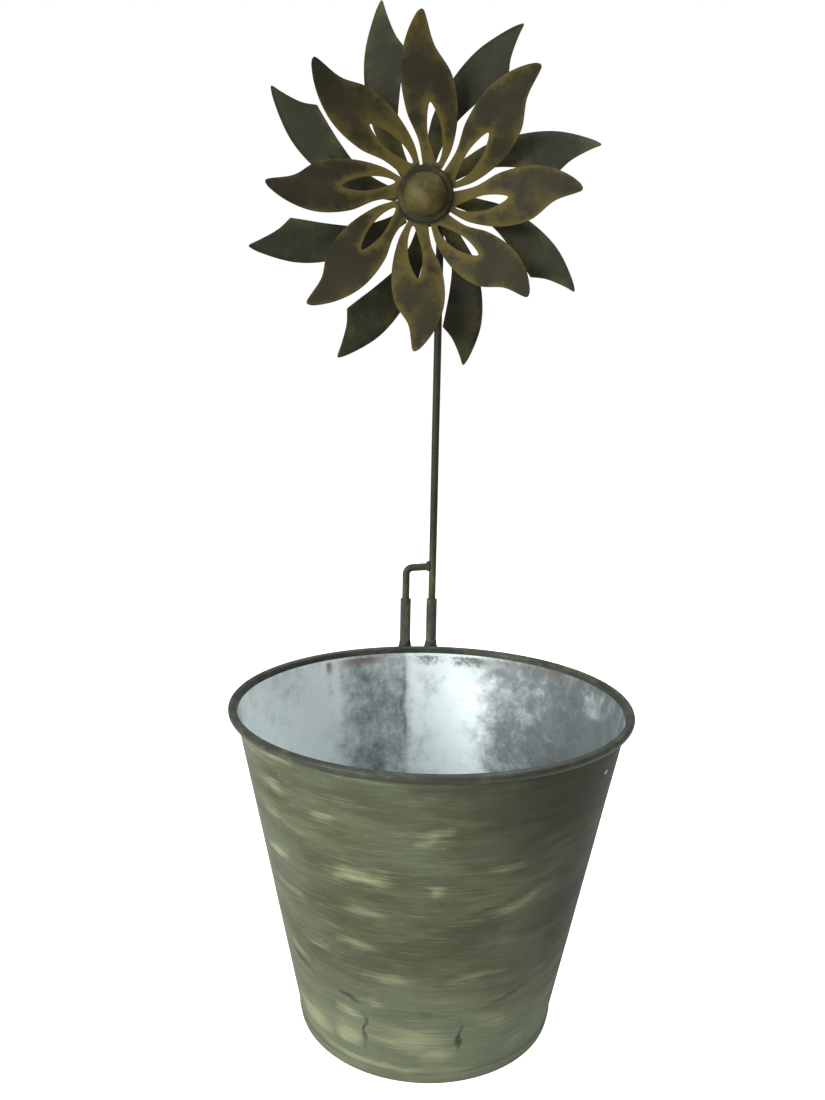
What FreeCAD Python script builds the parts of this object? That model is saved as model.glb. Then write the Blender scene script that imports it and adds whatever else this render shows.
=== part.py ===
import FreeCAD, Part
import math
import os
import Sketcher
from FreeCAD import Placement, Rotation, Vector

# A metal planter pot with a two-wheel pinwheel on a stake at its back.
# Frame: millimetres, +Z up, origin on the table at the pot's axis. The wheels face -Y, the pot's front,
# and the stake stands at +Y. On the axle, "forward" means towards -Y, measured from the stem's centre.

doc = FreeCAD.newDocument("pinwheel_planter")
sheet = doc.addObject("Spreadsheet::Sheet", "Sizes")

# Each row is a driving dimension: its name, its value and what it is. Lengths are in mm, angles in degrees.
DRIVING = [
    ("rim_diameter", 220.0, "across the outside of the rolled rim"),
    ("base_diameter", 140.0, "outside of the wall at the table"),
    ("pot_height", 181.0, "table to the top of the rim"),
    ("pot_sheet", 0.8, "galvanised sheet of the pot"),
    ("rim_wire_diameter", 3.0, "wire that the rim is rolled around"),
    ("hem_height", 5.0, "folded band around the foot of the wall"),
    ("base_flange", 7.0, "upturned edge of the base, inside the wall"),
    ("socket_wall", 0.7, "wall of the two socket tubes"),
    ("socket_play", 0.4, "between a leg and its socket, all round"),
    ("socket_length", 57.0, "length of the socket tubes"),
    ("socket_above_rim", 31.0, "how far the sockets stand above the rim"),
    ("socket_floor", 2.0, "closed bottom of a socket"),
    ("weld_gap", 0.3, "root gap that a weld fills, at the rim and beside the stem"),
    ("socket_offset", -9.65, "middle of the socket pair, sideways from the pot's axis"),
    ("leg_spacing", 17.3, "between the stem and the side leg"),
    ("lug_thickness", 3.0, "plate that ties the sockets to the wall"),
    ("lug_drop", 18.0, "top of the plate below the top of the rim"),
    ("lug_margin", 3.0, "plate left around each socket"),
    ("plate_weld_size", 2.2, "leg length of the fillet weld under the plate"),
    ("rim_weld_size", 1.2, "how far the welds at the rim stand out from their sockets at the foot"),
    ("rim_weld_rise", 3.0, "how far the welds at the rim reach above it"),
    ("rod_diameter", 4.8, "stake rod"),
    ("foot_gap", 0.3, "between a leg's end and the floor of its socket"),
    ("bridge_rise", 22.0, "side leg's level part above the top of the sockets"),
    ("bend_radius", 4.5, "side leg's bend, on its centre line"),
    ("leg_weld_diameter", 7.5, "weld where the side leg meets the stem"),
    ("axle_height", 463.0, "table to the axle"),
    ("stem_overrun", 5.0, "stem above the axle's centre line"),
    ("sleeve_diameter", 13.2, "sleeve welded beside the stem's top"),
    ("sleeve_length", 20.0, "sleeve, centred on the stem"),
    ("sleeve_play", 0.1, "between the sleeve and the bolt, all round"),
    ("sleeve_weld_diameter", 8.0, "weld between the stem and the sleeve"),
    ("axle_diameter", 6.0, "bolt that the wheels turn on"),
    ("nut_width", 10.0, "across the flats of the nuts and the bolt head"),
    ("head_thickness", 4.0, "bolt head"),
    ("clamp_nut_thickness", 4.0, "nut that clamps the bolt in the sleeve"),
    ("lock_nut_thickness", 5.0, "nut that keeps the wheels on"),
    ("bolt_point", 1.0, "bolt standing out of the lock nut"),
    ("washer_diameter", 12.0, "thrust washers"),
    ("washer_thickness", 1.0, "thrust washers"),
    ("end_play", 0.15, "gap at each end of a wheel's bush"),
    ("running_clearance", 0.05, "between a bush and the bolt, all round"),
    ("bush_diameter", 10.0, "wheel bush"),
    ("bush_tail", 2.0, "bush behind its flange"),
    ("bush_nose", 2.15, "bush in front of the hub plate"),
    ("bush_flange_diameter", 15.0, "flange that the wheel is seated on"),
    ("bush_flange_thickness", 1.5, "flange that the wheel is seated on"),
    ("disc_diameter", 34.0, "solid middle of a wheel"),
    ("disc_thickness", 1.2, "solid middle of a wheel"),
    ("hub_plate_diameter", 32.0, "plate in front of the solid middle"),
    ("hub_plate_thickness", 1.0, "plate in front of the solid middle"),
    ("petal_sheet", 0.8, "sheet of the petals"),
    ("cap_diameter", 25.0, "domed hub cap"),
    ("cap_sheet", 0.8, "sheet of the hub cap"),
    ("front_tip_radius", 91.0, "axle to the front petals' tips"),
    ("front_petal_width", 31.5, "widest part of a front petal"),
    ("front_tip_rise", 30.0, "front tips forward of their roots"),
    ("front_twist", 15.0, "front petals' pitch at the tip"),
    ("front_phase", 89.0, "angle of a front tip, seen from the front"),
    ("rear_tip_radius", 107.5, "axle to the rear petals' tips"),
    ("rear_petal_width", 28.5, "widest part of a rear petal"),
    ("rear_tip_rise", 16.5, "rear tips forward of their roots"),
    ("rear_twist", -15.0, "rear petals' pitch at the tip, opposite to the front's"),
    ("rear_phase", 104.4, "angle of a rear tip, seen from the front"),
]
PETALS = 8
PETAL_BEND_POWER = 1.4  # how late a petal's forward curve sets in: 1 is straight from the root
REAR_TWIST_LINE = 0.45  # where the rear petals' twist pivots, as a share of their width from the centre line
WELD_TURN = (Vector(1, 1, 0), 33)  # turns a round weld so that its poles and seam lie clear of the joint

for row, (alias, value, meaning) in enumerate(DRIVING, start=1):
    sheet.set(f"A{row}", meaning)
    sheet.set(f"B{row}", str(value))
    sheet.setAlias(f"B{row}", alias)
doc.recompute()


class Size:
    """A size as its number now and as the spreadsheet expression that gives it."""

    def __init__(self, number, text):
        self.number = number
        self.text = text

    def _join(self, other, sign, number):
        text = other.text if isinstance(other, Size) else repr(float(other))
        return Size(number, f"({self.text} {sign} {text})")

    def __add__(self, other):
        return self._join(other, "+", self.number + plain(other))

    def __sub__(self, other):
        return self._join(other, "-", self.number - plain(other))

    def __mul__(self, other):
        return self._join(other, "*", self.number * plain(other))

    def __truediv__(self, other):
        return self._join(other, "/", self.number / plain(other))

    def __neg__(self):
        return self * -1


def plain(value):
    return value.number if isinstance(value, Size) else value


def square_root(size):
    return Size(math.sqrt(size.number), f"sqrt({size.text})")


def from_sheet(alias):
    return Size(float(sheet.get(alias)), f"Sizes.{alias}")


S = {alias: from_sheet(alias) for alias, _, _ in DRIVING}
ZERO = Size(0.0, "0")
SUBPARTS = []


def bind(obj, prop, size):
    """Set a property from the spreadsheet and keep it bound."""
    obj.setExpression(prop, size.text)


def place(obj, x=ZERO, y=ZERO, z=ZERO, turn=None):
    """Put an object at a bound position, turned by turn = (axis, degrees)."""
    rotation = Rotation(*turn) if turn else Rotation()
    obj.Placement = Placement(Vector(x.number, y.number, z.number), rotation)
    for letter, size in zip("xyz", (x, y, z)):
        if size is not ZERO:
            bind(obj, f"Placement.Base.{letter}", size)


def keep(obj, label):
    """Name a finished sub-part and add it to the files to write."""
    obj.Label = label
    SUBPARTS.append(obj)
    return obj


def new_body(name):
    return doc.addObject("PartDesign::Body", name)


def sketch_on(body, role, name):
    """A sketch on one of the body's own origin planes."""
    sketch = body.newObject("Sketcher::SketchObject", name)
    plane = next(f for f in body.Origin.OriginFeatures if f.Role == role)
    sketch.AttachmentSupport = [(plane, "")]
    sketch.MapMode = "FlatFace"
    return sketch


def pin_point(sketch, geometry, corner, x, y):
    """Fix a sketch point at bound distances from the sketch's origin."""
    for kind, size in (("DistanceX", x), ("DistanceY", y)):
        if size is ZERO:
            axis = -2 if kind == "DistanceX" else -1
            sketch.addConstraint(Sketcher.Constraint("PointOnObject", geometry, corner, axis))
        else:
            item = Sketcher.Constraint(kind, -1, 1, geometry, corner, size.number)
            index = sketch.addConstraint(item)
            bind(sketch, f"Constraints[{index}]", size)


def arc_between(start, end, radius, turn):
    """Arc of the given radius from start to end. turn is +1 counter-clockwise or -1, and twice that for
    the long way round."""
    chord = end - start
    half = chord.Length / 2
    side = Vector(-chord.y, chord.x, 0).normalize()
    reach = math.sqrt(max(radius ** 2 - half ** 2, 0.0))
    left = (turn > 0) == (abs(turn) == 1)
    centre = (start + end) / 2 + side * (reach if left else -reach)
    first, last = (start, end) if turn > 0 else (end, start)
    angle = [math.atan2(p.y - centre.y, p.x - centre.x) for p in (first, last)]
    if angle[1] <= angle[0]:
        angle[1] += 2 * math.pi
    circle = Part.Circle(centre, Vector(0, 0, 1), radius)
    return Part.ArcOfCircle(circle, angle[0], angle[1])


def closed_profile(sketch, corners):
    """Closed outline. A corner is (x, y), or (x, y, radius, turn) when an arc leads to the next corner."""
    points = [Vector(c[0].number, c[1].number, 0) for c in corners]
    starts = []
    ends = []
    for index, corner in enumerate(corners):
        here = points[index]
        there = points[(index + 1) % len(points)]
        if len(corner) == 2:
            edge = sketch.addGeometry(Part.LineSegment(here, there))
            starts.append((edge, 1))
            ends.append((edge, 2))
        else:
            radius, turn = corner[2], corner[3]
            edge = sketch.addGeometry(arc_between(here, there, radius.number, turn))
            starts.append((edge, 1 if turn > 0 else 2))
            ends.append((edge, 2 if turn > 0 else 1))
            item = sketch.addConstraint(Sketcher.Constraint("Radius", edge, radius.number))
            bind(sketch, f"Constraints[{item}]", radius)
    for index, corner in enumerate(corners):
        sketch.addConstraint(Sketcher.Constraint("Coincident", *ends[index - 1], *starts[index]))
        pin_point(sketch, *starts[index], corner[0], corner[1])


def turned(name, corners, degrees=360.0):
    """A body turned about its own Z axis from a profile of (radius, height) corners."""
    body = new_body(name)
    sketch = sketch_on(body, "XZ_Plane", name + "_profile")
    closed_profile(sketch, corners)
    turn = body.newObject("PartDesign::Revolution", name + "_turn")
    turn.Profile = sketch
    turn.ReferenceAxis = (sketch, ["V_Axis"])
    turn.Angle = degrees
    return body


def circle_in(sketch, x, y, radius):
    edge = sketch.addGeometry(Part.Circle(Vector(x.number, y.number, 0), Vector(0, 0, 1), radius.number))
    index = sketch.addConstraint(Sketcher.Constraint("Radius", edge, radius.number))
    bind(sketch, f"Constraints[{index}]", radius)
    pin_point(sketch, edge, 3, x, y)


def padded(name, draw, length):
    """A body padded along its own Z axis from whatever draw() puts in the sketch."""
    body = new_body(name)
    sketch = sketch_on(body, "XY_Plane", name + "_outline")
    draw(sketch)
    pad = body.newObject("PartDesign::Pad", name + "_pad")
    pad.Profile = sketch
    bind(pad, "Length", length)
    return body


def ring(name, inner, outer, length):
    """A washer or tube: a pad of two circles."""
    def draw(sketch):
        circle_in(sketch, ZERO, ZERO, outer)
        circle_in(sketch, ZERO, ZERO, inner)
    return padded(name, draw, length)


def primitive(kind, name, **sizes):
    obj = doc.addObject(f"Part::{kind}", name)
    for prop, size in sizes.items():
        bind(obj, prop, size)
    return obj


def cut(name, base, *tools):
    """The base with each tool taken out in turn."""
    for index, tool in enumerate(tools):
        step = doc.addObject("Part::Cut", f"{name}_cut{index}")
        step.Base = base
        step.Tool = tool
        step.Refine = False
        base = step
    return base


# ---- Places that several pieces share ----

rim_radius = S["rim_diameter"] / 2
bead_diameter = S["rim_wire_diameter"] + S["pot_sheet"] * 2
bead_radius = bead_diameter / 2
bead_centre = rim_radius - bead_radius
bead_height = S["pot_height"] - bead_radius
wall_top = rim_radius - bead_diameter + S["pot_sheet"]
wall_foot = S["base_diameter"] / 2
wall_slope = (wall_top - wall_foot) / bead_height


def wall_outside(height):
    """Outside radius of the cone at a height."""
    return wall_foot + wall_slope * height


def wall_inside(height):
    return wall_outside(height) - S["pot_sheet"]


rod_radius = S["rod_diameter"] / 2
socket_inner = rod_radius + S["socket_play"]
socket_radius = socket_inner + S["socket_wall"]
socket_circle = rim_radius + S["weld_gap"] + socket_radius


def behind_rim(x):
    """How far back a socket at x stands, so that it is the weld gap clear of the rim."""
    return square_root(socket_circle * socket_circle - x * x)


socket_top = S["pot_height"] + S["socket_above_rim"]
socket_foot = socket_top - S["socket_length"]
stem_x = S["socket_offset"] + S["leg_spacing"] / 2
leg_x = S["socket_offset"] - S["leg_spacing"] / 2
stem_y = behind_rim(stem_x)
leg_y = behind_rim(leg_x)
stake_foot = socket_foot + S["socket_floor"] + S["foot_gap"]
bridge_height = socket_top + S["bridge_rise"]
sleeve_radius = S["sleeve_diameter"] / 2
axle_x = stem_x - rod_radius - S["weld_gap"] - sleeve_radius
axle_radius = S["axle_diameter"] / 2


# ---- Pot: sheet wall, rim wire, base ----

def make_pot_wall():
    """One sheet: the cone, rolled outwards over the wire at the top and folded to a band at the foot."""
    sheet_now = S["pot_sheet"]
    inner_roll = bead_radius - sheet_now
    band = wall_outside(S["hem_height"]) + sheet_now
    corners = [
        (wall_foot - sheet_now, ZERO),
        (wall_foot + sheet_now, ZERO),
        (band, S["hem_height"]),
        (wall_outside(S["hem_height"]), S["hem_height"]),
        (wall_top, bead_height, inner_roll, -2),
        (bead_centre, bead_height - inner_roll),
        (bead_centre, bead_height - bead_radius, bead_radius, 2),
        (rim_radius - bead_diameter, bead_height),
    ]
    keep(turned("wall", corners), "pot_wall")


def make_rim_wire():
    wire = primitive("Torus", "rim_wire", Radius1=bead_centre, Radius2=S["rim_wire_diameter"] / 2)
    place(wire, z=bead_height)
    keep(wire, "rim_wire")


def make_pot_base():
    """A flat pan whose edge turns up inside the wall. Its underside is what the pot stands on."""
    thick = S["pot_sheet"]
    corners = [
        (ZERO, ZERO),
        (wall_inside(ZERO), ZERO),
        (wall_inside(S["base_flange"]), S["base_flange"]),
        (wall_inside(S["base_flange"]) - thick, S["base_flange"]),
        (wall_inside(thick) - thick, thick),
        (ZERO, thick),
    ]
    keep(turned("base", corners), "pot_base")


# ---- Sockets at the back of the rim, with their plate and welds ----

def make_socket(label, x, y):
    """A tube with a closed bottom."""
    corners = [
        (ZERO, ZERO),
        (socket_radius, ZERO),
        (socket_radius, S["socket_length"]),
        (socket_inner, S["socket_length"]),
        (socket_inner, S["socket_floor"]),
        (ZERO, S["socket_floor"]),
    ]
    socket = turned(label + "_body", corners)
    place(socket, x, y, socket_foot)
    keep(socket, label)


def pot_envelope():
    """The outside of the pot as a solid cone, for pieces that fit against the wall."""
    cone = primitive("Cone", "wall_envelope", Radius1=wall_foot, Radius2=wall_top, Height=bead_height)
    return cone


def make_socket_plate(envelope):
    """A level plate welded to the wall, with a hole for each socket."""
    side = socket_radius + S["lug_margin"]
    plate_top = S["pot_height"] - S["lug_drop"]
    plate_foot = plate_top - S["lug_thickness"]

    def draw(sketch):
        left = leg_x - side
        right = stem_x + side
        back = stem_y + side
        front = wall_foot
        closed_profile(sketch, [(left, front), (right, front), (right, back), (left, back)])
        circle_in(sketch, leg_x, leg_y, socket_radius)
        circle_in(sketch, stem_x, stem_y, socket_radius)

    blank = padded("plate_blank", draw, S["lug_thickness"])
    place(blank, z=plate_foot)
    keep(cut("plate", blank, envelope), "socket_plate")

    # The weld under the plate follows the wall for the plate's width.
    half_width = (S["leg_spacing"] / 2 + side).number
    middle = math.degrees(math.atan2(stem_y.number, S["socket_offset"].number))
    span = 2 * math.degrees(math.asin(half_width / wall_outside(plate_foot).number))
    corners = [
        (wall_outside(plate_foot), ZERO),
        (wall_outside(plate_foot - S["plate_weld_size"]), -S["plate_weld_size"]),
        (wall_outside(plate_foot) + S["plate_weld_size"], ZERO),
    ]
    weld = turned("plate_weld_body", corners, span)
    place(weld, z=plate_foot, turn=(Vector(0, 0, 1), middle - span / 2))
    keep(weld, "plate_weld")


def make_rim_weld(label, x, y, bead):
    """A flared weld around a socket where it meets the rim."""
    foot = socket_radius + S["rim_weld_size"]
    height = bead_diameter + S["rim_weld_rise"]
    cone = primitive("Cone", label + "_flare", Radius1=foot, Radius2=socket_radius, Height=height)
    core = primitive("Cylinder", label + "_core", Radius=socket_radius, Height=height)
    for piece in (cone, core):
        place(piece, x, y, S["pot_height"] - bead_diameter)
    keep(cut(label, cone, core, bead), label)


def make_sockets():
    make_socket("stem_socket", stem_x, stem_y)
    make_socket("leg_socket", leg_x, leg_y)
    make_socket_plate(pot_envelope())
    bead = primitive("Torus", "bead_envelope", Radius1=bead_centre, Radius2=bead_radius)
    place(bead, z=bead_height)
    make_rim_weld("stem_socket_weld", stem_x, stem_y, bead)
    make_rim_weld("leg_socket_weld", leg_x, leg_y, bead)


# ---- Stake: stem, side leg, axle sleeve and their welds ----

def make_stem():
    length = S["axle_height"] + S["stem_overrun"] - stake_foot
    stem = primitive("Cylinder", "stem", Radius=rod_radius, Height=length)
    place(stem, stem_x, stem_y, stake_foot)
    return keep(stem, "stem_rod")


def make_side_leg():
    """One rod bent over to the stem, which it faces: a pipe along a line, an arc and a line."""
    body = new_body("leg")
    rise = bridge_height - stake_foot
    step_back = stem_y - leg_y
    reach = square_root(S["leg_spacing"] * S["leg_spacing"] + step_back * step_back) - rod_radius
    facing = math.degrees(math.atan2(step_back.number, S["leg_spacing"].number))
    bend = S["bend_radius"]
    path = sketch_on(body, "XZ_Plane", "leg_path")
    foot = Vector(0, 0, 0)
    bend_start = Vector(0, (rise - bend).number, 0)
    bend_end = Vector(bend.number, rise.number, 0)
    upright = path.addGeometry(Part.LineSegment(foot, bend_start))
    corner = path.addGeometry(arc_between(bend_start, bend_end, bend.number, -1))
    level = path.addGeometry(Part.LineSegment(bend_end, Vector(reach.number, rise.number, 0)))
    path.addConstraint(Sketcher.Constraint("Coincident", upright, 2, corner, 2))
    path.addConstraint(Sketcher.Constraint("Coincident", corner, 1, level, 1))
    path.addConstraint(Sketcher.Constraint("Coincident", upright, 1, -1, 1))
    pin_point(path, upright, 2, ZERO, rise - bend)
    pin_point(path, level, 1, bend, rise)
    pin_point(path, level, 2, reach, rise)
    radius = path.addConstraint(Sketcher.Constraint("Radius", corner, bend.number))
    bind(path, f"Constraints[{radius}]", bend)
    section = sketch_on(body, "XY_Plane", "leg_section")
    circle_in(section, ZERO, ZERO, rod_radius)
    pipe = body.newObject("PartDesign::AdditivePipe", "leg_pipe")
    pipe.Profile = section
    pipe.Spine = path
    place(body, leg_x, leg_y, stake_foot, turn=(Vector(0, 0, 1), facing))
    return keep(body, "side_leg")


def make_sleeve():
    """A horizontal tube beside the stem. The axle bolt is clamped in it."""
    bore = axle_radius + S["sleeve_play"]
    sleeve = ring("sleeve", bore, sleeve_radius, S["sleeve_length"])
    on_axle(sleeve, -S["sleeve_length"] / 2)
    return keep(sleeve, "axle_sleeve")


def weld_ball(label, diameter, x, y, z, *pieces):
    """A round weld at a joint, with the pieces that it joins taken out of it."""
    ball = primitive("Sphere", label + "_ball", Radius=diameter / 2)
    place(ball, x, y, z, turn=WELD_TURN)
    keep(cut(label, ball, *pieces), label)


def make_stake():
    stem = make_stem()
    leg = make_side_leg()
    sleeve = make_sleeve()
    weld_x = stem_x - rod_radius
    weld_ball("leg_weld", S["leg_weld_diameter"], weld_x, stem_y, bridge_height, stem, leg)
    bore_plug = primitive("Cylinder", "sleeve_bore_plug", Radius=sleeve_radius, Height=S["sleeve_length"])
    on_axle(bore_plug, -S["sleeve_length"] / 2)
    weld_ball("sleeve_weld", S["sleeve_weld_diameter"], weld_x, stem_y, S["axle_height"], stem, bore_plug)
    return sleeve


# ---- Axle: bolt, nuts and washers. Each distance is forward from the stem's centre ----

def on_axle(obj, forward):
    """Lay an object along the axle: its own Z points forward and starts at the given distance."""
    place(obj, axle_x, stem_y - forward, S["axle_height"], turn=(Vector(1, 0, 0), 90))


sleeve_front = S["sleeve_length"] / 2
rear_washer_at = sleeve_front + S["clamp_nut_thickness"]
rear_bush_at = rear_washer_at + S["washer_thickness"] + S["end_play"]
stack = S["bush_flange_thickness"] + S["disc_thickness"] + S["hub_plate_thickness"]
bush_length = S["bush_tail"] + stack + S["bush_nose"]
middle_washer_at = rear_bush_at + bush_length + S["end_play"]
front_bush_at = middle_washer_at + S["washer_thickness"] + S["end_play"]
front_washer_at = front_bush_at + bush_length + S["end_play"]
lock_nut_at = front_washer_at + S["washer_thickness"]
bolt_end = lock_nut_at + S["lock_nut_thickness"] + S["bolt_point"]
disc_from_bush = S["bush_tail"] + S["bush_flange_thickness"]
plate_from_bush = disc_from_bush + S["disc_thickness"]
cap_from_bush = plate_from_bush + S["hub_plate_thickness"]


def hexagon(name, thickness, forward):
    corner = S["nut_width"] / math.sqrt(3)
    prism = doc.addObject("Part::Prism", name)
    prism.Polygon = 6
    bind(prism, "Circumradius", corner)
    bind(prism, "Height", thickness)
    on_axle(prism, forward)
    return prism


def make_axle():
    head = hexagon("bolt_head", S["head_thickness"], -sleeve_front - S["head_thickness"])
    shank = primitive("Cylinder", "bolt_shank", Radius=axle_radius, Height=sleeve_front + bolt_end)
    on_axle(shank, -sleeve_front)
    bolt = doc.addObject("Part::Fuse", "bolt")
    bolt.Base = head
    bolt.Tool = shank
    keep(bolt, "axle_bolt")
    clamp = hexagon("clamp_hexagon", S["clamp_nut_thickness"], sleeve_front)
    keep(cut("clamp", clamp, shank), "clamp_nut")
    lock = hexagon("lock_hexagon", S["lock_nut_thickness"], lock_nut_at)
    keep(cut("lock", lock, shank), "lock_nut")
    washers = [
        ("rear_washer", rear_washer_at),
        ("middle_washer", middle_washer_at),
        ("front_washer", front_washer_at),
    ]
    bore = axle_radius + S["running_clearance"]
    for label, forward in washers:
        washer = ring(label + "_ring", bore, S["washer_diameter"] / 2, S["washer_thickness"])
        on_axle(washer, forward)
        keep(washer, label)


# ---- Wheels: petals cut from one sheet, hub plate and flanged bush ----
# A petal is drawn pointing along +X with the axle at the origin, seen from the front. Its outline is given as
# (how far from the solid middle to the tip, sideways as a share of the petal's width), root to tip.
# Both wheels' petals have a full side and a hollow side, like a flame leaning clockwise.

FRONT_FULL_SIDE = [(-0.03, 0.06), (0.17, 0.16), (0.36, 0.38), (0.61, 0.47), (0.82, 0.345), (0.975, 0.10)]
FRONT_HOLLOW_SIDE = [
    (-0.03, -0.30), (0.13, -0.475), (0.39, -0.56), (0.62, -0.45), (0.79, -0.15), (0.94, -0.04),
]
FRONT_LEAF = [(0.015, -0.21), (0.11, -0.10), (0.26, 0.0), (0.43, -0.05), (0.30, -0.235), (0.12, -0.29)]
REAR_FULL_SIDE = [(-0.03, 0.40), (0.14, 0.595), (0.29, 0.735), (0.54, 0.735), (0.75, 0.565), (0.94, 0.185)]
REAR_NECK_SIDE = [(-0.03, 0.14), (0.12, 0.225), (0.29, 0.225), (0.45, 0.07), (0.69, -0.25)]
REAR_SHOULDER_SIDE = [(0.69, -0.25), (0.78, -0.11), (0.92, -0.02)]


class Petals:
    """The sizes of one wheel's petals, as plain numbers from the sheet."""

    def __init__(self, side, twist_line):
        self.tip = S[side + "_tip_radius"].number
        self.width = S[side + "_petal_width"].number
        self.rise = S[side + "_tip_rise"].number
        self.twist = S[side + "_twist"].number
        self.phase = S[side + "_phase"].number
        self.root = S["disc_diameter"].number / 2
        self.sheet = S["petal_sheet"].number
        self.twist_line = twist_line * self.width

    def at(self, share, sideways):
        return Vector(self.root + share * (self.tip - self.root), sideways * self.width, 0)

    def height(self, share, side):
        """Forward height of the bent sheet: it curves forward and twists more the further out it is."""
        share = max(share, 0.0)
        bend = self.rise * share ** PETAL_BEND_POWER
        twist = math.radians(self.twist) * (1 - (1 - share) ** 2)
        return bend + (side - self.twist_line * (1 - share ** 2)) * math.tan(twist)

    def sheet_slab(self):
        """A bent slab of sheet, larger than the petal."""
        shares = [-0.08 + 0.12 * step for step in range(10)]
        sides = [self.width * (step - 2) / 2 for step in range(5)]
        grid = []
        for share in shares:
            radius = self.at(share, 0).x
            grid.append([Vector(radius, side, self.height(share, side)) for side in sides])
        surface = Part.BSplineSurface()
        surface.interpolate(grid)
        slab = surface.toShape().extrude(Vector(0, 0, self.sheet))
        slab.translate(Vector(0, 0, -self.sheet / 2))
        return slab


def smooth(petals, shares):
    curve = Part.BSplineCurve()
    curve.interpolate([petals.at(*share) for share in shares])
    return curve.toShape()


def closed_curve(petals, shares):
    curve = Part.BSplineCurve()
    curve.interpolate([petals.at(*share) for share in shares], PeriodicFlag=True)
    return curve.toShape()


def outline_prism(petals, edges):
    """The outline's face, pushed through the bent slab's whole height."""
    reach = abs(petals.rise) + petals.width
    wire = Part.Wire(Part.__sortEdges__(edges))
    face = Part.Face(wire)
    face.translate(Vector(0, 0, -reach))
    return face.extrude(Vector(0, 0, 2 * reach))


def wheel_shape(petals, outline):
    """The petals around the solid middle, bored for the bush. Local Z is forward, 0 at mid-sheet."""
    petal = petals.sheet_slab().common(outline)
    thick = S["disc_thickness"].number
    disc = Part.makeCylinder(petals.root, thick, Vector(0, 0, -thick / 2))
    around = []
    for index in range(PETALS):
        turned_petal = petal.copy()
        turned_petal.rotate(Vector(), Vector(0, 0, 1), petals.phase - index * 360.0 / PETALS)
        around.append(turned_petal)
    bore = Part.makeCylinder(S["bush_diameter"].number / 2, 2 * thick, Vector(0, 0, -thick))
    return disc.multiFuse(around).cut(bore).removeSplitter()


def front_wheel_shape():
    petals = Petals("front", 0.0)
    tip = (1.0, 0.0)
    full = smooth(petals, FRONT_FULL_SIDE + [tip])
    hollow = smooth(petals, FRONT_HOLLOW_SIDE + [tip])
    root = Part.makeLine(petals.at(*FRONT_FULL_SIDE[0]), petals.at(*FRONT_HOLLOW_SIDE[0]))
    outline = outline_prism(petals, [full, hollow, root])
    leaf = outline_prism(petals, [closed_curve(petals, FRONT_LEAF)])
    return wheel_shape(petals, outline.cut(leaf))


def rear_wheel_shape():
    petals = Petals("rear", REAR_TWIST_LINE)
    tip = (1.0, 0.0)
    full = smooth(petals, REAR_FULL_SIDE + [tip])
    neck = smooth(petals, REAR_NECK_SIDE)
    shoulder = smooth(petals, REAR_SHOULDER_SIDE + [tip])
    root = Part.makeLine(petals.at(*REAR_FULL_SIDE[0]), petals.at(*REAR_NECK_SIDE[0]))
    return wheel_shape(petals, outline_prism(petals, [full, neck, shoulder, root]))


def make_wheel(side, shape, bush_at):
    wheel = doc.addObject("Part::Feature", side + "_petals")
    wheel.Shape = shape
    middle = bush_at + disc_from_bush + S["disc_thickness"] / 2
    on_axle(wheel, middle)
    keep(wheel, side + "_petals")

    bush_radius = S["bush_diameter"] / 2
    plate_radius = S["hub_plate_diameter"] / 2
    hub_plate = ring(side + "_plate", bush_radius, plate_radius, S["hub_plate_thickness"])
    on_axle(hub_plate, bush_at + plate_from_bush)
    keep(hub_plate, side + "_hub_plate")

    bore = axle_radius + S["running_clearance"]
    flange = S["bush_flange_diameter"] / 2
    corners = [
        (bore, ZERO),
        (bush_radius, ZERO),
        (bush_radius, S["bush_tail"]),
        (flange, S["bush_tail"]),
        (flange, disc_from_bush),
        (bush_radius, disc_from_bush),
        (bush_radius, bush_length),
        (bore, bush_length),
    ]
    bush = turned(side + "_bush_body", corners)
    on_axle(bush, bush_at)
    keep(bush, side + "_bush")


def make_hub_cap():
    """A half ball of sheet over the lock nut, standing on the front hub plate."""
    outside = S["cap_diameter"] / 2
    inside = outside - S["cap_sheet"]
    corners = [
        (inside, ZERO),
        (outside, ZERO, outside, 1),
        (ZERO, outside),
        (ZERO, inside, inside, -1),
    ]
    cap = turned("cap", corners)
    on_axle(cap, front_bush_at + cap_from_bush)
    keep(cap, "hub_cap")


# ---- Build, check and write ----

make_pot_wall()
make_rim_wire()
make_pot_base()
make_sockets()
make_stake()
make_axle()
make_wheel("rear", rear_wheel_shape(), rear_bush_at)
make_wheel("front", front_wheel_shape(), front_bush_at)
make_hub_cap()
doc.recompute()

for obj in doc.Objects:
    faults = [state for state in obj.State if state in ("Invalid", "Error")]
    if faults:
        raise RuntimeError(f"{obj.Label}: {faults}")

os.makedirs("parts", exist_ok=True)
for obj in SUBPARTS:
    shape = obj.Shape
    if shape.isNull() or not shape.isValid() or not shape.Solids:
        raise RuntimeError(f"{obj.Label}: no valid solid")
    shape.exportStep(f"parts/{obj.Label}.step")
    box = shape.BoundBox
    print(f"{obj.Label}: {shape.Volume:.1f} mm3, {len(shape.Solids)} solid, "
          f"x {box.XMin:.1f}..{box.XMax:.1f}, y {box.YMin:.1f}..{box.YMax:.1f}, z {box.ZMin:.1f}..{box.ZMax:.1f}")
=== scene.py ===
import math
import random

import bmesh
import bpy
import numpy as np
from mathutils import Matrix, Vector, noise
from mathutils.geometry import delaunay_2d_cdt


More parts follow.
